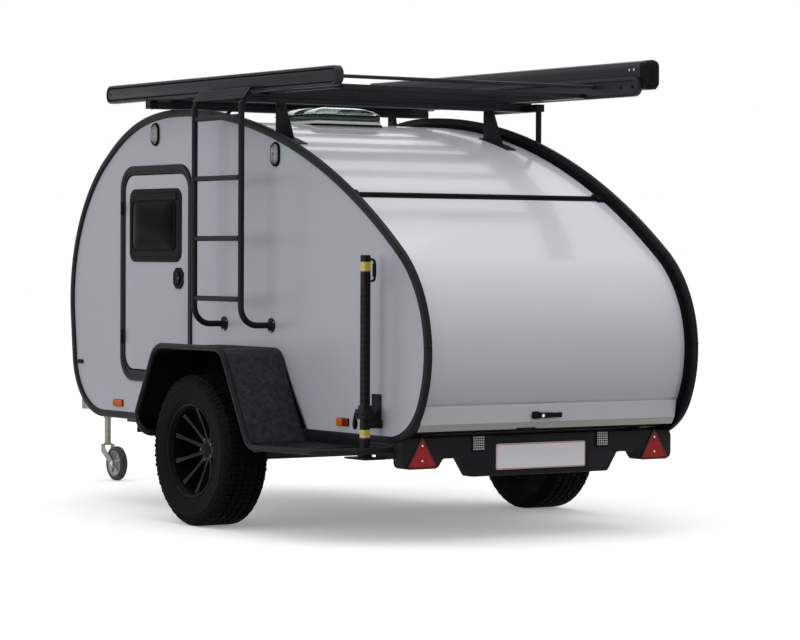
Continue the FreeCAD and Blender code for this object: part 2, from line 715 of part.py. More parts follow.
barTop = "(bar_low + bar_high)"
bars = []
endBlocks = []
shelves = []
for name, x in (("front", "bar_front_x"), ("rear", "bar_rear_x")):
    bars.append(box("crossbar_" + name, fromAxle(x + " - bar_deep / 2"), "-bar_half", "bar_low", "bar_deep",
                    "2 * bar_half", "bar_high"))
    endBlocks.append(box("bar_end_" + name, fromAxle(x + " - end_block / 2"), "bar_half", "bar_low", "end_block",
                         "awning_in + awning_deep - bar_half", "bar_high"))
    shelves.append(box("awning_shelf_" + name, fromAxle(x + " - end_block / 2"), "-big_awning_in - shelf_wide",
                       barTop, "end_block", "shelf_wide", "big_awning_low - " + barTop))
keep("rack_crossbars", grouped("rack_crossbars", [fused("bar_" + pieces[0].Name, list(pieces))
                                                  for pieces in zip(bars, endBlocks, shelves)]))

# Columns: name, front edge at the top, rear edge at the top, rear edge at the roof, rear end of the base strip,
# all from the middle of its crossbar.
footShapes = [
    ("rear", "bar_rear_x", "bar_deep / 2 + 7", "-bar_deep / 2 - 12", "-158", "-205"),
    ("front", "bar_front_x", "bar_deep / 2 + 7", "-bar_deep / 2", "-90", "-130"),
]
feet = []
for name, bar, front, rear, base, strip in footShapes:
    fin = plate("fin_" + name, fromAxle(bar), "foot_y + foot_thick / 2", "0", "y", "foot_thick", [[
        (front, "bar_low"),
        (rear, "bar_low"),
        (base, "crown_z - 8 * shell"),
        (front, "crown_z - 8 * shell"),
    ]])
    stripBox = box("strip_box_" + name, fromAxle(bar + " + (" + strip + ")"), "foot_y - foot_base / 2",
                   "crown_z - 9 * shell", front + " - (" + strip + ")", "foot_base", "9 * shell")
    strips = common("strip_" + name, band("strip_band_" + name, "skin_drop - foot_strip", "skin_drop",
                                          "-half_width", "half_width"), stripBox)
    foot = fused("foot_" + name, [cut("fin_cut_" + name, fin, skinSolid), strips])
    feet += [foot, mirrored("foot_right_" + name, foot)]
keep("rack_feet", grouped("rack_feet", feet))

deck = newBody("rack_deck", fromAxle("deck_rear"), "-deck_half", barTop)
padOn(deck, "deck_pad", "deck_thick", [rectangle("0", "0", "deck_front - deck_rear", "2 * deck_half", "deck_bend")])
slatPitch = "((deck_front - deck_rear + slat_gap) / slat_count)"
slot = pocketIn(deck, "deck_slot", "deck_thick", [
    rectangle(slatPitch + " - slat_gap", "deck_edge", slatPitch, "2 * deck_half - deck_edge")])
slots = deck.newObject("PartDesign::LinearPattern", "deck_slots")
slots.Originals = [slot]
slots.Direction = (slot.Profile[0], ["H_Axis"])
slots.setExpression("Length", bound(slatPitch + " * (slat_count - 2)"))
slots.setExpression("Occurrences", bound("slat_count - 1"))
deck.Tip = slots
keep("rack_deck", deck)

keep("awning_left", plate("awning_left", "axle_x", "awning_in + awning_deep", barTop, "y", "awning_deep",
                          [rectangle("awning_rear", "0", "awning_front", "awning_high", "awning_bend")]))
keep("awning_right", plate("awning_right", fromAxle("big_awning_rear"), "-big_awning_in - big_awning_deep",
                           "big_awning_low", "x", "big_awning_front - big_awning_rear",
                           [rectangle("0", "0", "big_awning_deep", "big_awning_high", "big_awning_bend")]))
keep("awning_arm", plate("awning_arm", "axle_x", "-big_awning_in + arm_deep", barTop, "y", "arm_deep",
                         [rectangle("arm_rear", "0", "arm_front", "arm_high", "arm_bend")]))
keep("awning_tie", rod("awning_tie", fromAxle("tie_x"), "awning_in", "tie_z", "y", "tie_radius",
                       "awning_in + big_awning_in - arm_deep"))


def flange(name, x, side, z):
    """A round flange on a side panel; side is 1 for left and -1 for right."""
    out = panelOut + " + flange_thick" if side > 0 else "-" + panelOut
    return rod(name, fromAxle(x), out, z, "y", "flange_radius", "flange_thick")


ladderParts = []
for name, x in (("front", "rail_front"), ("rear", "rail_rear")):
    ladderParts.append(tube("rail_" + name, [
        (fromAxle(x), panelOut, "rail_low"),
        (fromAxle(x), "rail_y", "rail_low"),
        (fromAxle(x), "rail_y", "rail_top"),
        (fromAxle(x), "rail_y - rail_lean", barTop),
    ], "rail_bend", "rail_radius"))
    ladderParts.append(flange("rail_flange_" + name, x, 1, "rail_low"))
for step in range(4):
    ladderParts.append(rod("rung_%d" % step, fromAxle("rail_rear"), "rail_y",
                           "rung_first + %d * rung_pitch" % step, "x", "rung_radius", "rail_front - rail_rear"))
tread = newBody("tread", fromAxle("rail_rear - tread_past"), "rail_y - rail_lean", barTop, "x")
padOn(tread, "tread_pad", "rail_front - rail_rear + 2 * tread_past", [[
    ("-18", "16"), ("20", "-16"), ("30", "-4"), ("-8", "28")]])
ladderParts.append(tread)
ladderParts.append(tube("ladder_brace", [
    (fromAxle("bar_rear_x"), "rail_y", "rung_first + 3 * rung_pitch"),
    (fromAxle("bar_rear_x"), "rail_y - 30", "rung_first + 3 * rung_pitch + 30"),
    (fromAxle("bar_rear_x"), "rail_y - brace_in", "bar_low - brace_radius"),
], "10", "brace_radius"))
keep("ladder", fused("ladder", ladderParts))

stayParts = [box("stay_bar", fromAxle("stay_rear"), "-bar_half - stay_wide", "bar_low", "stay_front - stay_rear",
                 "stay_wide", "bar_high - 3")]
for name, x in (("rear", "stay_rear + post_inset"), ("front", "stay_front - post_inset")):
    stayParts.append(tube("post_" + name, [
        (fromAxle(x), "-bar_half - stay_wide / 2", "bar_low + 1"),
        (fromAxle(x), "-bar_half - stay_wide / 2", "stay_low"),
        (fromAxle(x), "-" + panelOut, "stay_low"),
    ], "stay_bend", "rail_radius"))
    stayParts.append(flange("post_flange_" + name, x, -1, "stay_low"))
keep("rack_stay", fused("rack_stay", stayParts))

# ---- chassis, axle and drawbar ------------------------------------------------------------------

addSizes([
    ("chassis_high", 66, "height of the chassis rails"),
    ("chassis_wide", 60, "width of a rail"),
    ("chassis_in", 128, "chassis rails in from the trims"),
    ("chassis_front", 1450, "front end of the rails"),
    ("cross_wide", 60, "width of a cross member"),
    ("bumper_rear", -1362, "rear face of the bumper"),
    ("bumper_deep", 72, "its thickness"),
    ("wheel_radius", 368, "outer radius of the tyres"),
    ("wheel_out", 205, "middle of a wheel out of the trims"),
    ("tyre_wide", 250, "width of a tyre"),
    ("rim_radius", 216, "bead seat radius"),
    ("rim_wide", 200, "width of the rim"),
    ("flange_lip", 16, "rim flange above the bead seat"),
    ("rim_wall", 9, "thickness of the rim"),
    ("disc_in", 12, "spoke disc inboard of the wheel's middle"),
    ("disc_thick", 22, "thickness of the spoke disc"),
    ("spoke_count", 10, "number of spokes"),
    ("hub_radius", 62, "radius of the wheel's hub"),
    ("stub_radius", 22, "radius of the stub axle"),
    ("stub_gap", 0.05, "running clearance of the stub axle"),
    ("drum_radius", 125, "radius of the brake drum"),
    ("drum_out", 20, "inner face of the brake drum out of the trims"),
    ("backplate_thick", 10, "brake backplate"),
    ("arm_low", 300, "underside of the axle beam"),
    ("beam_side", 74, "side of the axle beam"),
    ("beam_x", 170, "middle of the axle beam"),
    ("beam_in", 88, "axle beam's ends in from the trims"),
    ("swing_thick", 40, "thickness of a trailing arm"),
    ("swing_radius", 48, "radius of its ends"),
    ("drawbar_front", 2990, "front end of the drawbar beams"),
    ("drawbar_in", 210, "drawbar beams in from the chassis rails at their rear end"),
    ("drawbar_front_y", 66, "beams at their front end from the centre plane"),
    ("drawbar_wide", 50, "width of a beam"),
    ("drawbar_high", 80, "height of a beam"),
])
follow([
    ("chassis_out", "half_width - chassis_in", "outer face of the rails"),
    ("wheel_y", "half_width + wheel_out", "middle of a wheel from the centre plane"),
    ("drum_in", "half_width + drum_out", "inner face of the drum"),
    ("beam_half", "half_width - beam_in", "half the length of the axle beam"),
    ("drawbar_rear_y", "chassis_out - drawbar_in", "beams at their rear end from the centre plane"),
])

railLow = "(floor_line + trim_width - chassis_high)"
chassisRails = [
    box("chassis_left", fromAxle("bumper_rear + bumper_deep"), "chassis_out - chassis_wide", railLow,
        "chassis_front - bumper_rear - bumper_deep", "chassis_wide", "chassis_high"),
    box("chassis_right", fromAxle("bumper_rear + bumper_deep"), "-chassis_out", railLow,
        "chassis_front - bumper_rear - bumper_deep", "chassis_wide", "chassis_high"),
]
keep("chassis_rails", grouped("chassis_rails", chassisRails))
crossPlaces = [("rear", "-1220"), ("middle", "-420"), ("front", "chassis_front - cross_wide")]
crosses = [box("cross_" + name, fromAxle(x), "chassis_wide - chassis_out", railLow, "cross_wide",
               "2 * (chassis_out - chassis_wide)", "chassis_high") for name, x in crossPlaces]
axleBeam = box("axle_tube", fromAxle("beam_x - beam_side / 2"), "-beam_half", "arm_low", "beam_side",
               "2 * beam_half", "beam_side")
beamPads = [box("beam_pad_" + side, fromAxle("beam_x - beam_side"), low, "arm_low + beam_side",
                "2 * beam_side", "chassis_wide", railLow + " - arm_low - beam_side")
            for side, low in (("left", "chassis_out - chassis_wide"), ("right", "-chassis_out"))]

beamMiddle = "(arm_low + beam_side / 2)"
swing = newBody("swing", "axle_x", "beam_half + swing_thick", "wheel_radius", "y")
padOn(swing, "swing_beam_eye", "swing_thick",
      circles=[("beam_x", beamMiddle + " - wheel_radius", "swing_radius")])
padOn(swing, "swing_stub_eye", "swing_thick", circles=[("0", "0", "swing_radius")])
padOn(swing, "swing_web", "swing_thick", [[
    ("0", "-swing_radius * 0.8"), ("beam_x", beamMiddle + " - wheel_radius - swing_radius * 0.8"),
    ("beam_x", beamMiddle + " - wheel_radius + swing_radius * 0.8"), ("0", "swing_radius * 0.8")]])
stubEnd = "(wheel_y - disc_in + 10)"
stub = rod("stub", "axle_x", stubEnd, "wheel_radius", "y", "stub_radius", stubEnd + " - beam_half - swing_thick")
backplate = rod("backplate", "axle_x", "drum_in - 5", "wheel_radius", "y", "drum_radius", "backplate_thick")
spacer = rod("spacer", "axle_x", "drum_in - 5 - backplate_thick", "wheel_radius", "y", "2 * stub_radius",
             "drum_in - 5 - backplate_thick - beam_half - swing_thick")
armLeft = fused("axle_arm_left", [swing, stub, backplate, spacer])
keep("axle", fused("axle", [axleBeam, armLeft, mirrored("axle_arm_right", armLeft)] + beamPads))


def wheelNodes():
    """Tyre, rim and brake drum of the left wheel, turned about the stub axle."""
    half = "tyre_wide / 2"
    tyre = revolved("tyre_left", "axle_x", "wheel_y", "wheel_radius", [[
        ("rim_radius", "-rim_wide / 2"),
        ("rim_radius + 20", "-rim_wide / 2 - 5"),
        ("(rim_radius + wheel_radius) / 2", "-" + half, "40"),
        ("wheel_radius - 30", "-" + half + " + 3", "12"),
        ("wheel_radius", "-" + half + " + 25", "25"),
        ("wheel_radius", half + " - 25", "25"),
        ("wheel_radius - 30", half + " - 3", "12"),
        ("(rim_radius + wheel_radius) / 2", half, "40"),
        ("rim_radius + 20", "rim_wide / 2 + 5"),
        ("rim_radius", "rim_wide / 2"),
    ]])
    rim = revolved("rim_left", "axle_x", "wheel_y", "wheel_radius", [[
        ("stub_radius + stub_gap", "-disc_in - disc_thick"),
        ("rim_radius - rim_wall", "-disc_in - disc_thick"),
        ("rim_radius - rim_wall", "-rim_wide / 2"),
        ("rim_radius", "-rim_wide / 2"),
        ("rim_radius", "rim_wide / 2"),
        ("rim_radius + flange_lip", "rim_wide / 2 + 4"),
        ("rim_radius + flange_lip", "rim_wide / 2 + 12"),
        ("rim_radius - rim_wall", "rim_wide / 2 + 12"),
        ("rim_radius - rim_wall", "-disc_in + 20"),
        ("hub_radius", "-disc_in"),
        ("hub_radius", "disc_in + 8"),
        ("stub_radius", "disc_in + 8"),
        ("stub_radius", "12 - disc_in"),
        ("stub_radius + stub_gap", "12 - disc_in"),
    ]])
    window = rim.newObject("PartDesign::Pocket", "rim_window")
    window.Profile = sketchIn(rim, "rim_window_sketch", [[
        ("hub_radius + 18", "-9", "4"), ("rim_radius - rim_wall - 12", "-38", "12"),
        ("rim_radius - rim_wall - 12", "38", "12"), ("hub_radius + 18", "9", "4")]])
    plane = [part for part in rim.Origin.OriginFeatures if part.Role == "XZ_Plane"][0]
    window.Profile[0].AttachmentSupport = [(plane, "")]
    window.Type = "ThroughAll"
    window.Midplane = True
    ring = rim.newObject("PartDesign::PolarPattern", "rim_windows")
    ring.Originals = [window]
    ring.Axis = ([part for part in rim.Origin.OriginFeatures if part.Role == "Y_Axis"][0], [""])
    ring.Angle = 360
    ring.setExpression("Occurrences", bound("spoke_count"))
    rim.Tip = ring
    drum = revolved("brake_drum_left", "axle_x", "0", "wheel_radius", [[
        ("stub_radius + stub_gap", "drum_in"),
        ("drum_radius", "drum_in"),
        ("drum_radius", "drum_in + 60"),
        ("hub_radius", "drum_in + 75"),
        ("hub_radius", "wheel_y - disc_in - disc_thick"),
        ("stub_radius + stub_gap", "wheel_y - disc_in - disc_thick"),
    ]])
    return tyre, rim, drum


for name, piece in zip(("tyre", "rim", "brake_drum"), wheelNodes()):
    keep(name + "_left", piece)
    keep(name + "_right", mirrored(name + "_right", piece))

drawbarTop = "(floor_line + trim_width)"
beamLeft = plate("drawbar_left", "axle_x", "0", drawbarTop + " - drawbar_high", "z", "drawbar_high", [[
    ("chassis_front", "drawbar_rear_y - drawbar_wide / 2"),
    ("drawbar_front", "drawbar_front_y - drawbar_wide / 2"),
    ("drawbar_front", "drawbar_front_y + drawbar_wide / 2"),
    ("chassis_front", "drawbar_rear_y + drawbar_wide / 2"),
]])
keep("drawbar", grouped("drawbar", [beamLeft, mirrored("drawbar_right", beamLeft)]))

addSizes([
    ("nose_plate", 12, "thickness of the plate across the front of the drawbar"),
    ("shaft_radius", 30, "radius of the coupling shaft"),
    ("cup_radius", 48, "outer radius of the coupling head"),
    ("cup_low", 405, "underside of the coupling head"),
    ("cup_high", 74, "its height"),
    ("socket_radius", 25.5, "radius of the ball socket"),
    ("socket_deep", 46, "its depth"),
    ("jockey_x", 2880, "jockey tube"),
    ("jockey_outer", 24, "radius of its outer tube"),
    ("jockey_inner", 19, "radius of its inner tube"),
    ("jockey_gap", 0.3, "clearance between the two"),
    ("jockey_tube_low", 360, "low end of the outer tube"),
    ("jockey_tube_high", 760, "its high end"),
    ("jockey_leg_low", 214, "low end of the inner tube"),
    ("jockey_leg_high", 520, "its high end"),
    ("clamp_plate", 8, "thickness of the jockey clamp's plate"),
    ("clamp_half", 38, "half the side of the clamp block"),
    ("clamp_high", 90, "height of the clamp block above the plate"),
    ("castor_radius", 100, "radius of the jockey wheel"),
    ("castor_wide", 50, "its width"),
    ("castor_trail", 110, "how far it trails behind its tube"),
    ("fork_gap", 5, "fork to the jockey wheel"),
    ("fork_thick", 5, "thickness of the fork"),
    ("pin_radius", 8, "radius of the small pins"),
    ("steady_x", -1190, "hinge of the rear corner steadies"),
    ("steady_in", 258, "middle of a steady in from the trims"),
    ("steady_z", 375, "height of its hinge"),
    ("steady_long", 400, "length of a steady leg"),
    ("steady_wide", 40, "its width"),
    ("steady_high", 26, "its height"),
    ("steady_foot", 84, "side of its foot plate"),
    ("ear_thick", 5, "thickness of its hinge ears"),
    ("ear_gap", 1, "leg to ear"),
    ("ear_wide", 50, "width of an ear"),
    ("ear_drop", 22, "ears below the hinge"),
    ("lever_base_long", 60, "length of the handbrake's base"),
    ("lever_base_wide", 28, "its width"),
    ("lever_base_high", 40, "its height"),
    ("pull_long", 110, "length of the coupling's handle"),
    ("pull_wide", 30, "its width"),
    ("pull_high", 16, "its height"),
    ("clamp_long", 100, "length of the jockey wheel's clamp plate"),
    ("crank_arm", 120, "reach of the jockey wheel's crank"),
    ("crank_lift", 35, "crank's arm above the tube"),
    ("crank_grip", 75, "height of its grip"),
    ("crank_bend", 15, "bend of the crank"),
    ("crank_radius", 7, "radius of the crank's bar"),
    ("cheek_half", 24, "fork's cheeks about the wheel's pin"),
    ("fork_ahead", 34, "fork's plate behind the wheel's pin"),
    ("pin_past", 6, "fork's pin beyond its cheeks"),
])
follow([
    ("steady_y", "half_width - steady_in", "middle of a steady from the centre plane"),
])

shaftMiddle = "(" + drawbarTop + " - drawbar_high / 2)"
cup = rod("coupling_cup", fromAxle("coupling_reach - cup_radius"), "0", "cup_low", "z", "cup_radius", "cup_high")
shaft = rod("coupling_shaft", fromAxle("drawbar_front"), "0", shaftMiddle, "x", "shaft_radius",
            "coupling_reach - cup_radius - drawbar_front")
nosePlate = box("coupling_plate", fromAxle("drawbar_front"), "-drawbar_front_y - drawbar_wide / 2",
                drawbarTop + " - drawbar_high", "nose_plate", "2 * drawbar_front_y + drawbar_wide", "drawbar_high")
pull = box("coupling_handle", fromAxle("coupling_reach - 3 * cup_radius"), "-pull_wide / 2",
           "cup_low + cup_high", "pull_long", "pull_wide", "pull_high")
socket = rod("coupling_socket", fromAxle("coupling_reach - cup_radius"), "0", "cup_low - 1", "z",
             "socket_radius", "socket_deep + 1")
keep("coupling", cut("coupling", fused("coupling_solid", [cup, shaft, nosePlate, pull]), socket))

leverBase = box("lever_base", fromAxle("drawbar_front - lever_base_long + 3"), "drawbar_front_y - lever_base_wide / 2",
                drawbarTop, "lever_base_long", "lever_base_wide", "lever_base_high")
lever = tube("lever_arm", [
    (fromAxle("drawbar_front - 60"), "drawbar_front_y", drawbarTop + " + 20"),
    (fromAxle("drawbar_front - 30"), "drawbar_front_y", drawbarTop + " + 190"),
    (fromAxle("drawbar_front + 30"), "drawbar_front_y", drawbarTop + " + 260"),
], "60", "11")
keep("handbrake_lever", fused("handbrake_lever", [leverBase, lever]))

clampPlate = box("clamp_plate_box", fromAxle("jockey_x - clamp_long / 2"), "-2 * drawbar_front_y", drawbarTop,
                 "clamp_long",
                 "4 * drawbar_front_y", "clamp_plate")
clampBlock = box("clamp_block", fromAxle("jockey_x - clamp_half"), "-clamp_half", drawbarTop + " - 50",
                 "2 * clamp_half", "2 * clamp_half", "50 + clamp_plate + clamp_high")
clampBore = rod("clamp_bore", fromAxle("jockey_x"), "0", "castor_radius", "z", "jockey_outer", "jockey_tube_high")
keep("jockey_clamp", cut("jockey_clamp", fused("clamp_solid", [clampPlate, clampBlock]), clampBore))

outerTube = newBody("jockey_outer_body", fromAxle("jockey_x"), "0", "jockey_tube_low")
padOn(outerTube, "outer_pad", "jockey_tube_high - jockey_tube_low - 10",
      circles=[("0", "0", "jockey_outer"), ("0", "0", "jockey_inner + jockey_gap")])
padOn(outerTube, "outer_cap", "10", circles=[("0", "0", "jockey_outer")],
      lift="jockey_tube_high - jockey_tube_low - 10")
crank = tube("jockey_crank", [
    (fromAxle("jockey_x"), "0", "jockey_tube_high - 2"),
    (fromAxle("jockey_x"), "0", "jockey_tube_high + crank_lift"),
    (fromAxle("jockey_x"), "-crank_arm", "jockey_tube_high + crank_lift"),
    (fromAxle("jockey_x"), "-crank_arm", "jockey_tube_high + crank_lift + crank_grip"),
], "crank_bend", "crank_radius")
keep("jockey_tube", fused("jockey_tube", [outerTube, crank]))
keep("jockey_leg", rod("jockey_leg", fromAxle("jockey_x"), "0", "jockey_leg_low", "z", "jockey_inner",
                       "jockey_leg_high - jockey_leg_low"))

castorX = "(jockey_x - castor_trail)"
castorHalf = "(castor_wide / 2)"
keep("jockey_wheel", revolved("jockey_wheel", fromAxle(castorX), "0", "castor_radius", [[
    ("pin_radius + stub_gap", "-" + castorHalf),
    ("castor_radius - 22", "-" + castorHalf),
    ("castor_radius", "-" + castorHalf, "14"),
    ("castor_radius", castorHalf, "14"),
    ("castor_radius - 22", castorHalf),
    ("pin_radius + stub_gap", castorHalf),
]]))
forkTop = "(2 * castor_radius + fork_gap)"
cheeks = [plate("fork_cheek_" + side, "axle_x", y, "0", "y", "fork_thick", [[
    ("jockey_x + jockey_outer", forkTop),
    (castorX + " - 34", forkTop),
    (castorX + " - cheek_half", "castor_radius - cheek_half", "16"),
    (castorX + " + cheek_half", "castor_radius - cheek_half", "16"),
    ("jockey_x + jockey_outer", forkTop + " - 45"),
]]) for side, y in (("left", castorHalf + " + fork_gap + fork_thick"), ("right", "-" + castorHalf + " - fork_gap"))]
forkPlate = box("fork_plate", fromAxle(castorX + " - fork_ahead"), "-" + castorHalf + " - fork_gap - fork_thick",
                forkTop, "castor_trail + fork_ahead + jockey_outer", "castor_wide + 2 * fork_gap + 2 * fork_thick", "fork_thick")
forkStem = rod("fork_stem", fromAxle("jockey_x"), "0", forkTop, "z", "jockey_inner",
               "jockey_leg_low - jockey_gap - " + forkTop)
forkPin = rod("fork_pin", fromAxle(castorX), castorHalf + " + fork_gap + fork_thick + pin_past",
              "castor_radius", "y",
              "pin_radius", "castor_wide + 2 * fork_gap + 2 * fork_thick + 2 * pin_past")
keep("jockey_fork", fused("jockey_fork", cheeks + [forkPlate, forkStem, forkPin]))


# ---- rear corner steadies -----------------------------------------------------------------------

legBar = box("steady_bar", fromAxle("steady_x - steady_high / 2"), "steady_y - steady_wide / 2",
             "steady_z - steady_high / 2", "steady_long + steady_high / 2", "steady_wide", "steady_high")
legFoot = box("steady_foot_plate", fromAxle("steady_x + steady_long - steady_foot"), "steady_y - steady_foot / 2",
              "steady_z - steady_high / 2 - 5", "steady_foot", "steady_foot", "5")
legBore = rod("steady_bore", fromAxle("steady_x"), "steady_y + steady_wide", "steady_z", "y",
              "pin_radius + stub_gap", "2 * steady_wide")
steadySolid = fused("steady_solid", [legBar, legFoot])
steadyLeft = keep("corner_steady_left", cut("corner_steady_left", steadySolid, legBore))
keep("corner_steady_right", mirrored("corner_steady_right", steadyLeft))
ears = []
for side, low in (("outer", "steady_y + steady_wide / 2 + ear_gap"),
                  ("inner", "steady_y - steady_wide / 2 - ear_gap - ear_thick")):
    ears.append(box("ear_" + side, fromAxle("steady_x - ear_wide / 2"), low, "steady_z - ear_drop", "ear_wide",
                    "ear_thick", railLow + " - steady_z + ear_drop"))
earPin = rod("ear_pin", fromAxle("steady_x"), "steady_y + steady_wide / 2 + ear_gap + ear_thick", "steady_z", "y",
             "pin_radius", "steady_wide + 2 * ear_gap + 2 * ear_thick")
bracketLeft = fused("steady_bracket_left", ears + [earPin])
crossRear = fused("cross_with_brackets", [crosses[0], bracketLeft, mirrored("steady_bracket_right", bracketLeft)])
keep("cross_members", grouped("cross_members", [crossRear] + crosses[1:]))

# ---- bumper and rear lamps ----------------------------------------------------------------------

addSizes([
    ("bumper_past", -3, "bumper beyond the trims"),
    ("bumper_top", 489, "top of the bumper"),
    ("bumper_end_low", 347, "underside of its ends"),
    ("bumper_notch_low", 389, "underside between its ends and middle"),
    ("bumper_middle_low", 300, "underside of its middle"),
    ("notch_from_end", 230, "bumper's end to the outer end of the notch"),
    ("notch_wide", 100, "width of the notch"),
    ("middle_half", 398, "half the length of the low middle"),
    ("plate_long", 520, "length of the number plate"),
    ("plate_high", 120, "its height"),
    ("plate_low", 328, "its low edge"),
    ("plate_thick", 3, "its thickness"),
    ("triangle_from_end", 108, "bumper's end to the middle of a triangle"),
    ("triangle_wide", 168, "its width"),
    ("triangle_low", 350, "its low edge"),
    ("triangle_bend", 8, "radius of its corners"),
    ("triangle_high", 146, "its height"),
    ("square_in", 324, "inner edge of a square rear lamp"),
    ("square_side", 74, "its side"),
    ("square_low", 418, "its low edge"),
    ("lens_thick", 6, "thickness of the rear lenses"),
])
follow([
    ("bumper_half", "half_width + bumper_past", "half the length of the bumper"),
    ("notch_out", "bumper_half - notch_from_end", "outer end of the notch"),
    ("notch_in", "notch_out - notch_wide", "inner end of the notch"),
    ("triangle_y", "bumper_half - triangle_from_end", "middle of a triangle reflector from the centre plane"),
])
bumperSolid = plate("bumper_solid", fromAxle("bumper_rear"), "0", "0", "x", "bumper_deep", [[
    ("-bumper_half", "bumper_end_low"),
    ("-notch_out - 30", "bumper_end_low"),
    ("-notch_out", "bumper_notch_low"),
    ("-notch_in", "bumper_notch_low"),
    ("-middle_half", "bumper_middle_low"),
    ("middle_half", "bumper_middle_low"),
    ("notch_in", "bumper_notch_low"),
    ("notch_out", "bumper_notch_low"),
    ("notch_out + 30", "bumper_end_low"),
    ("bumper_half", "bumper_end_low", "30"),
    ("bumper_half", "bumper_top", "40"),
    ("-bumper_half", "bumper_top", "40"),
]])
bumperCut = cut("bumper_less_left", bumperSolid, trimLeft)
keep("bumper", cut("bumper", bumperCut, nodes["trim_right"]))
keep("number_plate", box("number_plate", fromAxle("bumper_rear - plate_thick"), "-plate_long / 2", "plate_low",
                         "plate_thick", "plate_long", "plate_high"))
triangle = plate("triangle_left", fromAxle("bumper_rear - lens_thick"), "triangle_y", "triangle_low", "x",
                 "lens_thick", [[("-triangle_wide / 2", "0", "triangle_bend"),
                                 ("triangle_wide / 2", "0", "triangle_bend"),
                                 ("0", "triangle_high", "triangle_bend")]])
keep("rear_reflectors", grouped("rear_reflectors", [triangle, mirrored("triangle_right", triangle)]))
square = box("square_left", fromAxle("bumper_rear - lens_thick"), "square_in", "square_low", "lens_thick",
             "square_side", "square_side")
keep("rear_lamps", grouped("rear_lamps", [square, mirrored("square_right", square)]))

# ---- mudguards ----------------------------------------------------------------------------------

addSizes([
    ("guard_out", 322, "mudguard tube out of the trims"),
    ("guard_radius", 15, "radius of the mudguard tube"),
    ("guard_bend", 40, "radius of its bends"),
    ("guard_low", 430, "low ends of the mudguard"),
    ("guard_over", 134, "mudguard above the tyre"),
    ("guard_ahead", 167, "mudguard ahead of the tyre"),
    ("guard_front_z", 505, "height of its front corner"),
    ("guard_slope_front", 200, "run of its front slope"),
    ("guard_slope_rear", 250, "run of its rear slope"),
    ("guard_behind", 187, "mudguard behind the tyre"),
    ("guard_rear_z", 415, "height of its rear corner"),
    ("guard_sheet", 4, "thickness of its sheet"),
    ("guard_turn", 95, "tube from the front edge to where it turns in"),
    ("step_rear", -1268, "rear end of the left side tube"),
    ("short_step_rear", -930, "rear end of the right side tube"),
    ("step_corner", 150, "cut across the side tube's rear corner"),
])
follow([
    ("guard_y", "half_width + guard_out", "mudguard tube from the centre plane"),
    ("guard_top", "2 * wheel_radius + guard_over", "top of the mudguard"),
    ("guard_front", "wheel_radius + guard_ahead", "its front edge"),
    ("guard_rear", "-(wheel_radius + guard_behind)", "its rear edge"),
    ("guard_top_front", "guard_front - guard_slope_front", "front end of its flat top"),
    ("guard_top_rear", "guard_rear + guard_slope_rear", "rear end of its flat top"),
    ("guard_foot", "guard_front - guard_turn", "where the tube turns in ahead of the tyre"),
])


def guardPath(rear):
    """The mudguard tube from the chassis round the wheel and back in at its rear end."""
    return [
        (fromAxle("guard_foot"), "chassis_out", "guard_low"),
        (fromAxle("guard_foot"), "guard_y", "guard_low"),
        (fromAxle("guard_front"), "guard_y", "guard_front_z"),
        (fromAxle("guard_top_front"), "guard_y", "guard_top"),
        (fromAxle("guard_top_rear"), "guard_y", "guard_top"),
        (fromAxle("guard_rear"), "guard_y", "guard_rear_z"),
        (fromAxle(rear + " + step_corner"), "guard_y", "guard_low - 5"),
        (fromAxle(rear), "guard_y - step_corner", "guard_low"),
        (fromAxle(rear), "chassis_out", "guard_low"),
    ]


longTube = tube("fender_tube_left", guardPath("step_rear"), "guard_bend", "guard_radius")
shortTube = tube("fender_tube_short", guardPath("short_step_rear"), "guard_bend", "guard_radius")
keep("fender_tubes", grouped("fender_tubes", [longTube, mirrored("fender_tube_right", shortTube)]))
guard = plate("guard_sheet_left", "axle_x", "guard_y - guard_radius", "0", "y",
              "guard_y - guard_radius - " + panelOut, [[
    ("guard_front", "guard_low"),
    ("guard_front", "guard_front_z"),
    ("guard_top_front", "guard_top"),
    ("guard_top_rear", "guard_top"),
    ("guard_rear", "guard_rear_z"),
    ("guard_rear + 1.2 * guard_sheet", "guard_rear_z"),
    ("guard_top_rear + 0.6 * guard_sheet", "guard_top - guard_sheet"),
    ("guard_top_front - 0.6 * guard_sheet", "guard_top - guard_sheet"),
    ("guard_front - 1.2 * guard_sheet", "guard_front_z"),
    ("guard_front - 1.2 * guard_sheet", "guard_low"),
]])
fenderLeft = keep("fender_left", cut("fender_left", guard, trimLeft))
keep("fender_right", mirrored("fender_right", fenderLeft))

# ---- recovery jack ------------------------------------------------------------------------------

addSizes([
    ("jack_x", -1175, "middle of the recovery jack"),
    ("jack_out", 77, "jack out of the trims"),
    ("jack_low", 388, "underside of its foot"),
    ("jack_high", 1321, "its top"),
    ("jack_side", 36, "side of its bar"),
    ("jack_foot", 180, "length of its foot plate"),
    ("jack_foot_wide", 120, "width of its foot plate"),
    ("jack_foot_thick", 8, "thickness of its foot plate"),
    ("grip_out", 76, "its handle behind the bar"),
    ("grip_drop", 20, "top of the handle below the bar's top"),
    ("grip_long", 98, "height of the handle"),
    ("crank_out", 82, "its crank ahead of the bar"),
    ("mount_low", 528, "low edge of its wall bracket"),
    ("mount_high", 155, "height of its wall bracket"),
    ("mount_wide", 76, "width of its wall bracket"),
    ("mount_ahead", 35, "its wall bracket ahead of the jack"),
    ("mount_thick", 6, "thickness of its wall bracket"),
    ("runner_high", 45, "height of its runner"),
])
follow([
    ("jack_y", "half_width + jack_out", "jack from the centre plane"),
])
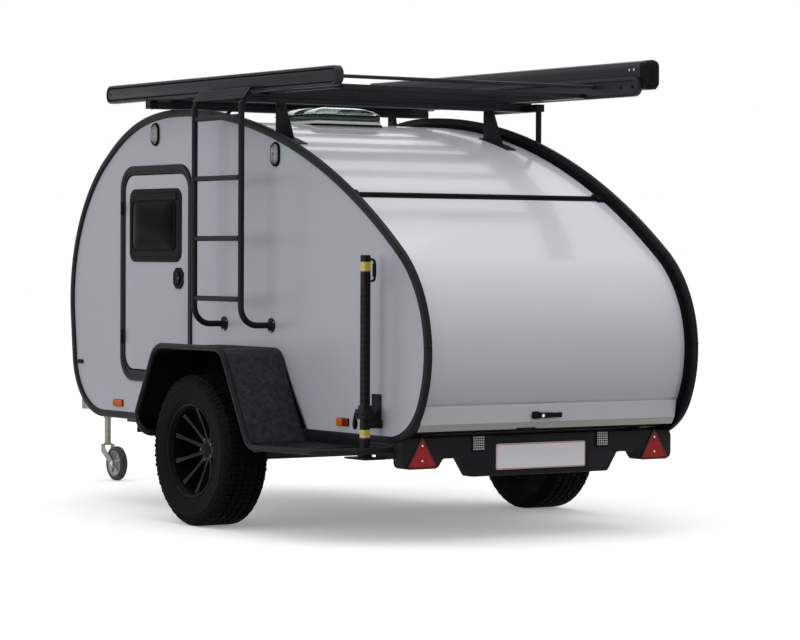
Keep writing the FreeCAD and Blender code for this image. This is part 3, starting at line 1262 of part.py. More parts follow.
jackParts = [
    box("jack_bar", fromAxle("jack_x - jack_side / 2"), "jack_y - jack_side / 2", "jack_low", "jack_side",
        "jack_side", "jack_high - jack_low"),
    box("jack_foot_plate", fromAxle("jack_x - jack_foot / 2"), "jack_y - jack_foot_wide / 2", "jack_low",
        "jack_foot", "jack_foot_wide", "jack_foot_thick"),
    box("jack_runner", fromAxle("jack_x - 1.2 * jack_side"), "jack_y - jack_side", "mount_low + mount_high / 2 - 35",
        "2.4 * jack_side", "2 * jack_side", "runner_high"),
    tube("jack_handle", [
        (fromAxle("jack_x"), "jack_y", "jack_high - grip_drop"),
        (fromAxle("jack_x - grip_out"), "jack_y", "jack_high - grip_drop"),
        (fromAxle("jack_x - grip_out"), "jack_y", "jack_high - grip_drop - grip_long"),
        (fromAxle("jack_x"), "jack_y", "jack_high - grip_drop - grip_long"),
    ], "18", "6"),
    tube("jack_lever", [
        (fromAxle("jack_x"), "jack_y", "mount_low + mount_high / 2 - 8"),
        (fromAxle("jack_x + crank_out"), "jack_y", "mount_low + mount_high / 2 - 8"),
        (fromAxle("jack_x + crank_out"), "jack_y", "mount_low - 10"),
    ], "18", "7"),
]
keep("recovery_jack", fused("recovery_jack", jackParts))
wallPlate = box("holder_plate", fromAxle("jack_x + mount_ahead - mount_wide / 2"), panelOut, "mount_low",
                "mount_wide", "mount_thick", "mount_high")
holderArm = box("holder_arm", fromAxle("jack_x - jack_side / 2"), panelOut, "mount_low", "jack_side",
                "jack_y - jack_side / 2 - " + panelOut, "mount_high / 4")
keep("jack_holders", fused("jack_holders", [wallPlate, holderArm]))

# ---- hatch handle -------------------------------------------------------------------------------

addSizes([
    ("handle_y", 35, "middle of the hatch handle left of the centre plane"),
    ("handle_z", 583, "middle of the hatch handle"),
    ("handle_long", 165, "its length across the hatch"),
    ("handle_high", 36, "its height"),
    ("handle_out", 26, "how far it stands out"),
])
handleBlock = box("handle_block", fromAxle("2 * tail_high_x"), "handle_y - handle_long / 2",
                  "handle_z - handle_high / 2", "-1.5 * tail_high_x", "handle_long", "handle_high")
handleBand = band("handle_band", "skin_drop - handle_out", "skin_drop", "-half_width", "half_width")
keep("hatch_handle", common("hatch_handle", handleBand, handleBlock))

# ---- build, test and write ----------------------------------------------------------------------

doc.recompute()
failed = [thing.Name for thing in doc.Objects if "Invalid" in thing.State or "Error" in thing.State]
for name, thing in nodes.items():
    if thing.Shape.isNull() or not thing.Shape.isValid() or not thing.Shape.Solids:
        failed.append(name)
if failed:
    raise RuntimeError("these pieces failed: " + ", ".join(failed))
print("axle_x", num("axle_x"))
os.makedirs("parts", exist_ok=True)
for name, thing in nodes.items():
    thing.Shape.exportStep("parts/" + name + ".step")
print(len(nodes), "pieces written")
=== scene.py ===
import json
import math
import bmesh
import bpy
import numpy as np
from mathutils import Matrix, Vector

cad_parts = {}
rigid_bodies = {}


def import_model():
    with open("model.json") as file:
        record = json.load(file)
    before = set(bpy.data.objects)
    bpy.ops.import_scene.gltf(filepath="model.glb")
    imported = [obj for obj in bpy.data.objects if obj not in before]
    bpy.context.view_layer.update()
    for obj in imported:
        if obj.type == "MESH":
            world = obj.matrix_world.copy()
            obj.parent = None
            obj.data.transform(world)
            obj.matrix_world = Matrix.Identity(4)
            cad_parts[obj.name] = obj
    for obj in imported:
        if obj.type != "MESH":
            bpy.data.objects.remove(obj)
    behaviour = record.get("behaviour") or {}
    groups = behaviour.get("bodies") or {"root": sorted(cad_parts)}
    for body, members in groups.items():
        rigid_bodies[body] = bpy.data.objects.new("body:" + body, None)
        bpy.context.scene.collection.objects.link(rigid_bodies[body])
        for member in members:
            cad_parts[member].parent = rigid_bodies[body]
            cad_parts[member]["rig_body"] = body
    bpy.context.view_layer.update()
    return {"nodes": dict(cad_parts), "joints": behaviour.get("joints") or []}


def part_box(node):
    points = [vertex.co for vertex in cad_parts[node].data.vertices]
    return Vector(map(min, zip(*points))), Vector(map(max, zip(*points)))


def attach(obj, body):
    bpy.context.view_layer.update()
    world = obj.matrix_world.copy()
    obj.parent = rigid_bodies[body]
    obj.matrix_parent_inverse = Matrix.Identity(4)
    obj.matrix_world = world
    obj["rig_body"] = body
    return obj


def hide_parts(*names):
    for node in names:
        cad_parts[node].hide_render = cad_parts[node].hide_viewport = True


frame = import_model()
nodes = frame["nodes"]
joints = {joint["name"]: joint for joint in frame["joints"]}
axleX, wheelY, wheelZ = joints["wheel_left_spin"]["pos_m"]
sides = {"left": 1, "right": -1}
print("frame loaded:", len(nodes), "nodes")


# Shapes are pairs: an array of points and a list of faces.

def unit(v):
    return v / np.linalg.norm(v, axis=-1, keepdims=True)


def roundedPath(points, radii=0.0, closed=False, chord=0.012, turnStep=0.16):
    # A corner p with half angle h is cut back by r / tan(h) each way. The arc between the cuts turns about
    # p + b * r / sin(h), where b halves the corner.
    points = np.asarray(points, float)
    radii = np.broadcast_to(radii, len(points))
    runs = []
    for i, (p, r) in enumerate(zip(points, radii)):
        if r <= 0 or (not closed and i in (0, len(points) - 1)):
            runs.append(p[None])
            continue
        back = unit(points[i - 1] - p)
        ahead = unit(points[(i + 1) % len(points)] - p)
        half = math.acos(np.clip(back @ ahead, -1, 1)) / 2
        centre = p + unit(back + ahead) * r / math.sin(half)
        first = unit(p + back * r / math.tan(half) - centre)
        last = unit(p + ahead * r / math.tan(half) - centre)
        across = unit(last - first * (first @ last))
        turn = math.pi - 2 * half
        count = max(2, math.ceil(turn / turnStep), math.ceil(turn * r / chord))
        t = np.linspace(0, turn, count + 1)[:, None]
        runs.append(centre + r * (np.cos(t) * first + np.sin(t) * across))
    return np.vstack(runs)


def rectangle(u0, v0, u1, v1, radius, steps=8):
    # Corner arcs of radius r about points r inside each corner, anticlockwise from the low right one.
    r = min(radius, abs(u1 - u0) / 2, abs(v1 - v0) / 2)
    centre = np.array([(u1 - r, v0 + r), (u1 - r, v1 - r), (u0 + r, v1 - r), (u0 + r, v0 + r)])
    t = np.linspace(-0.5, 0, steps + 1)[None] + 0.5 * np.arange(4)[:, None]
    arc = np.stack([np.cos(t * math.pi), np.sin(t * math.pi)], -1) * r
    return (centre[:, None] + arc).reshape(-1, 2)


def ellipse(u, v, a, b, steps=40):
    # Point k is (u + a cos t, v + b sin t) at t = 2 pi k / steps.
    t = np.linspace(0, 2 * math.pi, steps, endpoint=False)
    return np.stack([u + a * np.cos(t), v + b * np.sin(t)], 1)


def doubled(half, axis):
    # Half an outline, then its mirror image drawn back.
    half = np.asarray(half, float)
    back = half[::-1].copy()
    back[:, axis] *= -1
    return np.vstack([half, back])


def mitres(loop):
    # (a + b) / (1 + a.b), with a and b the outward normals of the edges before and after each point.
    edge = unit(np.roll(loop, -1, 0) - loop)
    after = np.stack([edge[:, 1], -edge[:, 0]], 1)
    before = np.roll(after, 1, 0)
    return (before + after) / (1 + (before * after).sum(1, keepdims=True))


def inset(loop, depth):
    # Each point of an anticlockwise loop moves in along its mitre.
    return loop - mitres(loop) * depth


def onSide(loop, y):
    return np.insert(loop, 1, y, axis=1)


def onRear(loop, x):
    return np.insert(loop, 0, x, axis=1)


def onTop(loop, z):
    return np.insert(loop, 2, z, axis=1)


def anticlockwise(loop):
    # Turned round unless the sum of (u2 - u1) * (v2 + v1) over its edges is negative.
    after = np.roll(loop, -1, 0)
    return loop if ((after - loop)[:, 0] * (after + loop)[:, 1]).sum() < 0 else loop[::-1]


def gridQuads(rows, cols, wrapRows=False, wrapCols=False):
    # Cell (i, j) joins points (i, j), (i, j+1), (i+1, j+1) and (i+1, j).
    i = np.arange(rows if wrapRows else rows - 1)[:, None]
    j = np.arange(cols if wrapCols else cols - 1)[None]
    nextI = (i + 1) % rows
    nextJ = (j + 1) % cols
    return np.stack([i * cols + j, i * cols + nextJ, nextI * cols + nextJ, nextI * cols + j],
        -1).reshape(-1, 4)


def loft(rings, ring=False):
    # Closed loops of equal length joined in order. The ends are capped, or meet again when ring is set.
    rings = np.asarray(rings, float)
    rows, cols = rings.shape[:2]
    faces = gridQuads(rows, cols, ring, True).tolist()
    if not ring:
        faces += [list(range(cols)), list(range((rows - 1) * cols, rows * cols))]
    return rings.reshape(-1, 3), faces


def stacked(place, loop, face, *layers, ring=False):
    # Each layer (depth, rise) is the loop moved in by the depth, at face + rise.
    return loft([place(inset(loop, depth) if depth else loop, face + rise) for depth, rise in layers], ring)


def between(place, loop, start, end):
    return loft([place(loop, start), place(loop, end)])


def bulged(place, loop, middle, shares, over, under, shrink):
    # Rings drawn in towards the middle by each share, one skin at the heights over and one at under.
    outer = [place(middle + (loop - middle) * (1 - u), h) for u, h in zip(shares, over)]
    inside = [place(middle + (loop - middle) * (1 - u) * shrink, h) for u, h in zip(shares, under)]
    return loft(inside[::-1] + outer)


def joined(*shapes):
    # Points one after another, with each shape's faces counted on from the points before it.
    starts = np.cumsum([0] + [len(points) for points, faces in shapes[:-1]])
    faces = [[int(start) + k for k in face] for start, shape in zip(starts, shapes) for face in shape[1]]
    return np.vstack([shape[0] for shape in shapes]), faces


def repeated(shape, places):
    # The same shape at p, for each p of the places.
    places = np.asarray(places, float)
    points, faces = shape
    allPoints = (places[:, None] + points[None]).reshape(-1, 3)
    return allPoints, [[k + i * len(points) for k in face] for i in range(len(places)) for face in faces]


def spun(shape, count):
    # Copies turned about the Y axis in even steps: x cos t + z sin t, and z cos t - x sin t.
    points, faces = shape
    t = 2 * math.pi * np.arange(count)[:, None] / count
    x = points[:, 0] * np.cos(t) + points[:, 2] * np.sin(t)
    z = points[:, 2] * np.cos(t) - points[:, 0] * np.sin(t)
    copies = np.stack([x, np.broadcast_to(points[:, 1], x.shape), z], -1).reshape(-1, 3)
    return copies, [[k + i * len(points) for k in face] for i in range(count) for face in faces]


def mirrored(shape):
    return shape[0] * (1, -1, 1), [face[::-1] for face in shape[1]]


def bothSides(shape):
    return joined(shape, mirrored(shape))


def block(low, high):
    # The eight corners of a box, from its lowest to its highest corner.
    low, high = np.asarray(low, float), np.asarray(high, float)
    corner = np.array([(0, 0), (1, 0), (1, 1), (0, 1)])
    rings = [np.column_stack([corner, np.full(4, level)]) * (high - low) + low for level in (0, 1)]
    return loft(rings)


def tube(path, radius, count=18):
    # A circle of the given radius square to the path at each point: p + r (cos t * side + sin t * up).
    path = np.asarray(path, float)
    tangent = unit(np.gradient(path, axis=0))
    side = unit(np.cross(tangent, (0.37, 0.61, 0.7)))
    up = np.cross(side, tangent)
    radius = np.broadcast_to(radius, len(path))[:, None, None]
    t = np.linspace(0, 2 * math.pi, count, endpoint=False)[:, None]
    return loft(path[:, None] + radius * (np.cos(t) * side[:, None] + np.sin(t) * up[:, None]))


def revolved(profile, centre, axis="y", count=64, ring=True, phase=0.0):
    # Point (r, a) of the profile goes to a along the axis and r away from it, at each of the angles.
    profile = np.asarray(profile, float)
    t = np.linspace(0, 2 * math.pi, count, endpoint=False) + phase
    r, a = profile[:, :1], np.repeat(profile[:, 1:], count, 1)
    c, s = r * np.cos(t), r * np.sin(t)
    order = {"x": (a, c, s), "y": (c, a, s), "z": (c, s, a)}[axis]
    return loft(np.stack(order, -1) + np.asarray(centre, float), ring)


def bolt(centre, axis, radius=0.0085, height=0.007, way=1):
    # A washer, a six-sided head and a shallow dome on it.
    washer = revolved([(0, 0), (1.35 * radius, 0), (1.35 * radius, way * 0.0015), (0, way * 0.0015)],
        centre, axis, 20, False)
    head = revolved([(0, 0), (radius, 0), (radius, way * height * 0.85), (radius * 0.86, way * height),
        (0, way * height)], centre, axis, 6, False)
    return joined(washer, head)


def shellGrid(outer, inner, keep=None):
    # Two skins on one grid, with walls between them wherever a kept cell meets an open one.
    rows, cols = outer.shape[:2]
    keep = np.ones((rows - 1, cols - 1), bool) if keep is None else keep
    ids = np.arange(rows * cols).reshape(rows, cols)
    a, b, c, d = ids[:-1, :-1], ids[:-1, 1:], ids[1:, 1:], ids[1:, :-1]
    top = np.stack([a, b, c, d], -1)[keep]
    near = np.pad(keep, 1)
    faces = [top, top[:, ::-1] + rows * cols]
    for first, last, beside in ((a, b, near[:-2, 1:-1]), (b, c, near[1:-1, 2:]), (c, d, near[2:, 1:-1]),
            (d, a, near[1:-1, :-2])):
        edge = keep & ~beside
        faces.append(np.stack([last[edge], first[edge], first[edge] + rows * cols,
            last[edge] + rows * cols], -1))
    return np.vstack([outer.reshape(-1, 3), inner.reshape(-1, 3)]), np.vstack(faces).tolist()


def welded(mesh, gap, flat=False):
    # Merges points nearer than the gap, then joins up flat faces or turns every face outwards.
    work = bmesh.new()
    work.from_mesh(mesh)
    bmesh.ops.remove_doubles(work, verts=work.verts, dist=gap)
    if flat:
        bmesh.ops.dissolve_limit(work, angle_limit=math.radians(0.5), verts=work.verts, edges=work.edges)
    else:
        bmesh.ops.recalc_face_normals(work, faces=work.faces)
    work.to_mesh(mesh)
    work.free()


def addPiece(name, shape, finish, bevel=0.0, sharp=32, replaces=(), body="trailer"):
    mesh = bpy.data.meshes.new(name)
    mesh.from_pydata(np.asarray(shape[0], float).tolist(), [], shape[1])
    welded(mesh, 1e-6)
    finishPiece(name, mesh, finish, bevel, sharp, replaces, body)


def finishPiece(name, mesh, finish, bevel, sharp, replaces, body):
    # Edges turning more than the sharp angle stay crisp, or are rounded by the bevel.
    mesh.shade_smooth()
    mesh.set_sharp_from_angle(angle=math.radians(sharp))
    mesh.materials.append(paint[finish])
    piece = bpy.data.objects.new(name, mesh)
    bpy.context.scene.collection.objects.link(piece)
    if bevel:
        edge = piece.modifiers.new("edges", "BEVEL")
        edge.width = bevel
        edge.segments = 2
        edge.limit_method = "ANGLE"
        edge.angle_limit = math.radians(sharp)
        edge.harden_normals = True
    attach(piece, body)
    if replaces:
        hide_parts(*replaces)


def onBothSides(name, shape, finish, bevel=0.0, sharp=32, node="", body="trailer"):
    # The shape on the left and its mirror image on the right. A star in a name stands for the side.
    for side, way in sides.items():
        addPiece(name.replace("*", side), shape if way > 0 else mirrored(shape), finish, bevel,
            sharp, (node.replace("*", side),) if node else (), body.replace("*", side))


def dressed(node, finish, bevel):
    # A copy of the node with its triangles merged, its flat faces joined up and its edges rounded.
    mesh = nodes[node].data.copy()
    mesh.materials.clear()
    welded(mesh, 1e-5, flat=True)
    finishPiece(node + "_finish", mesh, finish, bevel, 32, (node,), nodes[node]["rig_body"])


# Finishes. Every pattern runs on Object coordinates, in metres.

def newMaterial(name):
    material = bpy.data.materials.new(name)
    material.use_nodes = True
    tree = material.node_tree
    return material, tree, tree.nodes["Principled BSDF"]


def feed(tree, node, inputs):
    # Each named input takes a link where it is given a socket, and a constant otherwise.
    for key, value in inputs:
        if isinstance(value, bpy.types.NodeSocket):
            tree.links.new(value, node.inputs[key])
        else:
            node.inputs[key].default_value = value


def addNode(tree, kind, inputs=(), **settings):
    node = tree.nodes.new(kind)
    for key, value in settings.items():
        setattr(node, key, value)
    feed(tree, node, inputs)
    return node


def objectPlace(tree, scale=(1, 1, 1), turn=(0, 0, 0)):
    place = addNode(tree, "ShaderNodeTexCoord").outputs["Object"]
    return addNode(tree, "ShaderNodeMapping", [("Vector", place), ("Scale", scale),
        ("Rotation", turn)]).outputs[0]


def noiseOf(tree, place, scale, detail=3.0, rough=0.55):
    return addNode(tree, "ShaderNodeTexNoise", [("Vector", place), ("Scale", scale), ("Detail", detail),
        ("Roughness", rough)]).outputs["Fac"]


def ranged(tree, value, low, high, fromLow=0.3, fromHigh=0.7):
    return addNode(tree, "ShaderNodeMapRange", [("Value", value), ("From Min", fromLow),
        ("From Max", fromHigh), ("To Min", low), ("To Max", high)]).outputs["Result"]


def mixed(tree, factor, first, second, blend="MIX"):
    return addNode(tree, "ShaderNodeMix", [("Factor", factor), (6, first), (7, second)], data_type="RGBA",
        blend_type=blend).outputs[2]


def bumped(tree, height, strength, depth):
    return "Normal", addNode(tree, "ShaderNodeBump", [("Height", height), ("Strength", strength),
        ("Distance", depth)]).outputs[0]


def coated(name, colour, rough, spread=0.06, mottle=0.08, mottleScale=3.0, grain=900.0, grainDepth=0.00006,
        metal=0.0, coat=0.0, coatRough=0.05, specular=0.5, stretch=(1, 1, 1)):
    # colour * (1 +- mottle) and rough +- spread follow one slow noise, and a fine noise lifts the surface.
    material, tree, bsdf = newMaterial(name)
    place = objectPlace(tree, stretch)
    slow = noiseOf(tree, place, mottleScale, 5.0)
    dark = tuple(c * (1 - mottle) for c in colour) + (1,)
    pale = tuple(min(1, c * (1 + mottle)) for c in colour) + (1,)
    feed(tree, bsdf, [
        ("Base Color", mixed(tree, ranged(tree, slow, 0, 1), dark, pale)),
        ("Roughness", ranged(tree, slow, rough - spread, rough + spread)),
        ("Metallic", metal), ("Coat Weight", coat), ("Coat Roughness", coatRough),
        ("Specular IOR Level", specular),
        bumped(tree, noiseOf(tree, place, grain, 2.0), 0.6, grainDepth),
    ])
    return material


def galvanisedSteel():
    # Zinc spangle: each cell of a Voronoi pattern has its own grey and its own gloss.
    material, tree, bsdf = newMaterial("galvanisedSteel")
    place = objectPlace(tree)
    cells = addNode(tree, "ShaderNodeTexVoronoi", [("Vector", place), ("Scale", 95.0)])
    spangle = addNode(tree, "ShaderNodeSeparateColor", [("Color", cells.outputs["Color"])]).outputs[0]
    cloud = ranged(tree, noiseOf(tree, place, 9.0, 4.0), 0, 0.45)
    tone = mixed(tree, spangle, (0.19, 0.19, 0.175, 1), (0.33, 0.33, 0.305, 1))
    feed(tree, bsdf, [
        ("Base Color", mixed(tree, cloud, tone, (0.24, 0.235, 0.2, 1))),
        ("Roughness", ranged(tree, spangle, 0.34, 0.55, 0, 1)), ("Metallic", 0.75),
        bumped(tree, noiseOf(tree, place, 260.0), 0.5, 0.0002),
    ])
    return material


def clouded(name, cloud, share, dark, pale, rough, specular, grain, lift):
    # A noise of wide clouds mixes the two colours and the two gloss values; a fine noise lifts the surface.
    material, tree, bsdf = newMaterial(name)
    place = objectPlace(tree)
    slow = noiseOf(tree, place, *cloud)
    feed(tree, bsdf, [
        ("Base Color", mixed(tree, ranged(tree, slow, 0, 1, *share), dark + (1,), pale + (1,))),
        ("Roughness", ranged(tree, slow, *rough)), ("Specular IOR Level", specular),
        bumped(tree, noiseOf(tree, place, *grain), *lift),
    ])
    return material


def clearAcrylic():
    # A green-tinted clear sheet with a slow smear in its gloss.
    material, tree, bsdf = newMaterial("clearAcrylic")
    smear = noiseOf(tree, objectPlace(tree), 6.0)
    feed(tree, bsdf, [("Base Color", (0.8, 0.9, 0.86, 1)), ("Transmission Weight", 1.0), ("IOR", 1.22),
        ("Roughness", ranged(tree, smear, 0.02, 0.05))])
    return material


def smokedPane():
    # Near-black sheet; broad bands of warm and cold tone lie across it as a painted reflection.
    material, tree, bsdf = newMaterial("smokedAcrylic")
    reflectionBands = noiseOf(tree, objectPlace(tree, (1.5, 1, 7)), 1.6, 2.0, 0.4)
    # Painted reflection: warm and cold horizontal bands mixed into the base colour.
    tone = mixed(tree, ranged(tree, reflectionBands, 0, 1, 0.42, 0.62), (0.001, 0.002, 0.0022, 1),
        (0.0085, 0.0074, 0.0048, 1))
    feed(tree, bsdf, [("Base Color", tone), ("Roughness", 0.03), ("Specular IOR Level", 0.02)])
    return material


def prismLens(name, dark, pale, scale=170.0):
    # Small corner prisms moulded behind the lens: a tight cell pattern varies its colour and its slope.
    material, tree, bsdf = newMaterial(name)
    cells = addNode(tree, "ShaderNodeTexVoronoi", [("Vector", objectPlace(tree)), ("Scale", scale),
        ("Randomness", 0.0)]).outputs["Distance"]
    feed(tree, bsdf, [
        ("Base Color", mixed(tree, ranged(tree, cells, 0, 1, 0.1, 0.75), dark + (1,), pale + (1,))),
        ("Roughness", 0.16), ("Specular IOR Level", 0.22), bumped(tree, cells, 0.35, 0.0008),
    ])
    return material


def screwSteel():
    material, tree, bsdf = newMaterial("screwSteel")
    lines = noiseOf(tree, objectPlace(tree), 300.0, 4.0)
    feed(tree, bsdf, [("Base Color", (0.62, 0.61, 0.58, 1)), ("Metallic", 1.0),
        ("Roughness", ranged(tree, lines, 0.175, 0.325)), bumped(tree, lines, 0.2, 0.00005)])
    return material


paint = {
    "side": coated("sideLaminate", (0.425, 0.448, 0.49), 0.3, 0.03, 0.03, 1.1, 60.0, 0.00007, specular=0.35),
    "skin": coated("skinPaint", (0.58, 0.605, 0.64), 0.2, 0.03, 0.02, 1.4, 30.0, 0.0001, coat=0.35,
        coatRough=0.03),
    "trim": coated("trimPlastic", (0.0115, 0.0125, 0.014), 0.36, 0.05, 0.1, 5.0, 500.0, 0.0001,
        specular=0.08),
    "seal": coated("sealRubber", (0.006, 0.006, 0.0065), 0.55, 0.05, 0.12, 8.0, 700.0, 0.00008,
        specular=0.03),
    "powder": coated("powderCoat", (0.0115, 0.0125, 0.014), 0.42, 0.05, 0.1, 6.0, 750.0, 0.00014,
        specular=0.08),
    "rack": coated("anodisedBlack", (0.015, 0.016, 0.0185), 0.38, 0.05, 0.1, 4.0, 420.0, 0.00005,
        metal=0.25, specular=0.16, stretch=(1, 0.08, 1)),
    "awning": coated("awningCase", (0.022, 0.0235, 0.027), 0.4, 0.05, 0.08, 3.0, 600.0, 0.00008, metal=0.3,
        specular=0.16),
    "liner": clouded("treadPlate", (38.0, 6.0, 0.7), (0.4, 0.66), (0.0125, 0.014, 0.0165),
        (0.034, 0.039, 0.045), (0.42, 0.62), 0.14, (330.0, 5.0, 0.7), (0.8, 0.0009)),
    "moulded": coated("mouldedPlastic", (0.0075, 0.0078, 0.0085), 0.5, 0.06, 0.12, 5.0, 380.0, 0.00022,
        specular=0.05),
    "zinc": galvanisedSteel(),
    "cast": coated("castIron", (0.11, 0.108, 0.1), 0.62, 0.08, 0.25, 14.0, 190.0, 0.0005, metal=0.6),
    "tyre": clouded("tyreRubber", (11.0, 6.0, 0.65), (0.4, 0.72), (0.004, 0.004, 0.0043),
        (0.0105, 0.0103, 0.0102), (0.55, 0.82), 0.04, (420.0, 4.0), (0.5, 0.0003)),
    "alloy": coated("alloyBlack", (0.0065, 0.0068, 0.0072), 0.28, 0.05, 0.1, 6.0, 300.0, 0.00003,
        specular=0.2),
    # This black also stands as painted shade on the side panel under each mudguard and under each guard
    # sheet.
    "barrel": coated("barrelBlack", (0.003, 0.003, 0.0032), 0.4, 0.05, 0.1, 6.0, 300.0, 0.00003,
        specular=0.04),
    "board": coated("floorBoard", (0.045, 0.042, 0.038), 0.6, 0.08, 0.25, 9.0, 220.0, 0.0003,
        stretch=(0.2, 1, 1)),
    "wall": coated("innerWall", (0.5, 0.49, 0.46), 0.5, 0.05, 0.04, 3.0, 300.0, 0.0001),
    "smoked": smokedPane(),
    "clear": clearAcrylic(),
    "white": coated("whitePlastic", (0.72, 0.72, 0.7), 0.32, 0.04, 0.03, 5.0, 350.0, 0.00008),
    "red": prismLens("redLens", (0.24, 0.002, 0.003), (0.66, 0.005, 0.008)),
    "greenBand": coated("greenBand", (0.045, 0.075, 0.058), 0.12, 0.04, 0.25, 18.0, 240.0, 0.00004,
        specular=0.4),
    # The roof's paint is the hatch skin paint made paler. This is painted light that lifts the roof out of
    # the shade under the rack, though roof and hatch are one sheet.
    "roofPaint": coated("roofPaint", (0.66, 0.685, 0.72), 0.2, 0.03, 0.02, 1.4, 30.0, 0.0001, coat=0.35,
        coatRough=0.03),
    # A dark copy of the galvanised steel: painted shade on the parts under the body, which sit out of the
    # light.
    "zincDull": coated("zincDull", (0.04, 0.042, 0.041), 0.5, 0.08, 0.35, 9.0, 420.0, 0.00012,
        specular=0.25),
    "redEdge": prismLens("redEdge", (0.07, 0.002, 0.003), (0.16, 0.003, 0.005)),
    "amber": prismLens("amberLens", (0.4, 0.06, 0.002), (0.8, 0.17, 0.006), 120.0),
    "redMarker": prismLens("darkRedLens", (0.09, 0.008, 0.004), (0.24, 0.02, 0.01), 120.0),
    "lampWhite": prismLens("whitePrism", (0.48, 0.48, 0.47), (0.92, 0.92, 0.9)),
    "lampDome": prismLens("lampDome", (0.16, 0.16, 0.15), (0.62, 0.62, 0.6), 90.0),
    "screw": screwSteel(),
    "plate": coated("plateEnamel", (0.8, 0.81, 0.84), 0.3, 0.03, 0.02, 6.0, 120.0, 0.00005, coat=0.4),
    "plateLine": coated("plateLine", (0.62, 0.16, 0.18), 0.35, 0.03, 0.05, 6.0, 120.0, 0.00003),
    "sill": coated("sillProfile", (0.4, 0.385, 0.35), 0.36, 0.04, 0.04, 4.0, 240.0, 0.00004, metal=0.25,
        stretch=(1, 0.05, 1)),
    "bandYellow": coated("bandYellow", (0.62, 0.52, 0.05), 0.4, 0.04, 0.08, 9.0, 300.0, 0.00004),
    "bandWhite": coated("bandWhite", (0.62, 0.56, 0.54), 0.4, 0.04, 0.06, 9.0, 300.0, 0.00004),
    "bandRed": coated("bandRed", (0.42, 0.05, 0.05), 0.4, 0.04, 0.08, 9.0, 300.0, 0.00004),
    "castorRubber": coated("castorRubber", (0.014, 0.014, 0.015), 0.55, 0.06, 0.15, 14.0, 500.0, 0.0001),
    "castorHub": coated("castorHub", (0.33, 0.34, 0.35), 0.42, 0.05, 0.06, 8.0, 300.0, 0.0001, metal=0.4),
}
print("finishes made:", len(paint))


# Stage: a long lens from the left rear, a pale floor, and broad soft lamps.

def makeCamera():
    # Yaw and pitch give the line of sight; the roll turns the view about it.
    lens = {"place": (axleX - 12.428, 8.284, 1.313), "yaw": -34.07, "pitch": -1.225, "roll": 0.256,
        "length": 132.8}
    yaw, pitch, roll = (math.radians(lens[key]) for key in ("yaw", "pitch", "roll"))
    ahead = np.array([math.cos(yaw) * math.cos(pitch), math.sin(yaw) * math.cos(pitch), math.sin(pitch)])
    right = unit(np.cross(ahead, (0, 0, 1)))
    up = np.cross(right, ahead)
    across = math.cos(roll) * right + math.sin(roll) * up
    upright = math.cos(roll) * up - math.sin(roll) * right
    camera = bpy.data.objects.new("camera", bpy.data.cameras.new("camera"))
    camera.matrix_world = Matrix.Translation(lens["place"]) @ Matrix(np.stack([across, upright, -ahead],
        1)).to_4x4()
    camera.data.lens = lens["length"]
    camera.data.sensor_width = 36.0
    camera.data.clip_end = 200.0
    bpy.context.scene.collection.objects.link(camera)
    bpy.context.scene.camera = camera


def seenStraight(tree):
    # 1 for camera, glossy and transmission rays, 0 for diffuse ones.
    seen = addNode(tree, "ShaderNodeLightPath")
    ray = addNode(tree, "ShaderNodeMath", [(0, seen.outputs["Is Camera Ray"]),
        (1, seen.outputs["Is Glossy Ray"])], operation="MAXIMUM").outputs[0]
    return addNode(tree, "ShaderNodeMath", [(0, ray), (1, seen.outputs["Is Transmission Ray"])],
        operation="MAXIMUM").outputs[0]


def makeFloor():
    # White where it is seen, so that only the shadow shows on it, and dull in the light it throws back.
    mesh = bpy.data.meshes.new("studio_floor")
    reach = 60.0
    mesh.from_pydata([(-reach, -reach, 0), (reach, -reach, 0), (reach, reach, 0), (-reach, reach, 0)], [],
        [(0, 1, 2, 3)])
    floor = bpy.data.objects.new("studio_floor", mesh)
    bpy.context.scene.collection.objects.link(floor)
    material, tree, bsdf = newMaterial("studioFloor")
    seen = seenStraight(tree)
    feed(tree, bsdf, [
        ("Base Color", mixed(tree, seen, (0.06, 0.06, 0.06, 1), (0.93, 0.93, 0.93, 1))),
        ("Emission Strength", ranged(tree, seen, 0, 0.24, 0, 1)), ("Emission Color", (1, 1, 1, 1)),
        ("Roughness", 0.9), ("Specular IOR Level", 0.0),
    ])
    mesh.materials.append(material)


def makeLamps():
    # Each lamp is a square sheet aimed at the middle of the trailer.
    lamps = {  # place, size, watts
        "lamp_over": ((-1.0, 0.5, 9.0), 9.0, 210.0),
        "lamp_left": ((-1.2, 9.0, 0.9), 5.0, 190.0),
        "lamp_rear": ((-10.0, -1.0, 4.0), 5.0, 25.0),
        "lamp_front": ((9.0, -4.0, 5.0), 6.0, 60.0),
    }
    target = np.array((0, 0, 0.9))
    for name, (place, size, watts) in lamps.items():
        lamp = bpy.data.lights.new(name, "AREA")
        lamp.shape = "SQUARE"
        lamp.size = size
        lamp.energy = watts
        thing = bpy.data.objects.new(name, lamp)
        back = unit(np.array(place) - target)
        right = unit(np.cross((0, 0, 1), back)) if abs(back[2]) < 0.999 else np.array((1.0, 0, 0))
        thing.matrix_world = Matrix.Translation(place) @ Matrix(np.stack([right, np.cross(back, right),
            back], 1)).to_4x4()
        bpy.context.scene.collection.objects.link(thing)
    world = bpy.data.worlds.new("studio")
    world.use_nodes = True
    bpy.context.scene.world = world
    tree = world.node_tree
    background = tree.nodes["Background"]
    background.inputs["Color"].default_value = (1, 1, 1, 1)
    tree.links.new(ranged(tree, seenStraight(tree), 0.84, 1.0, 0, 1), background.inputs["Strength"])


makeCamera()
makeFloor()
makeLamps()
bpy.context.scene.view_settings.view_transform = "Standard"
print("stage made")


# Body: one outline carries the roof, the hatch, the edge trims and their seals.

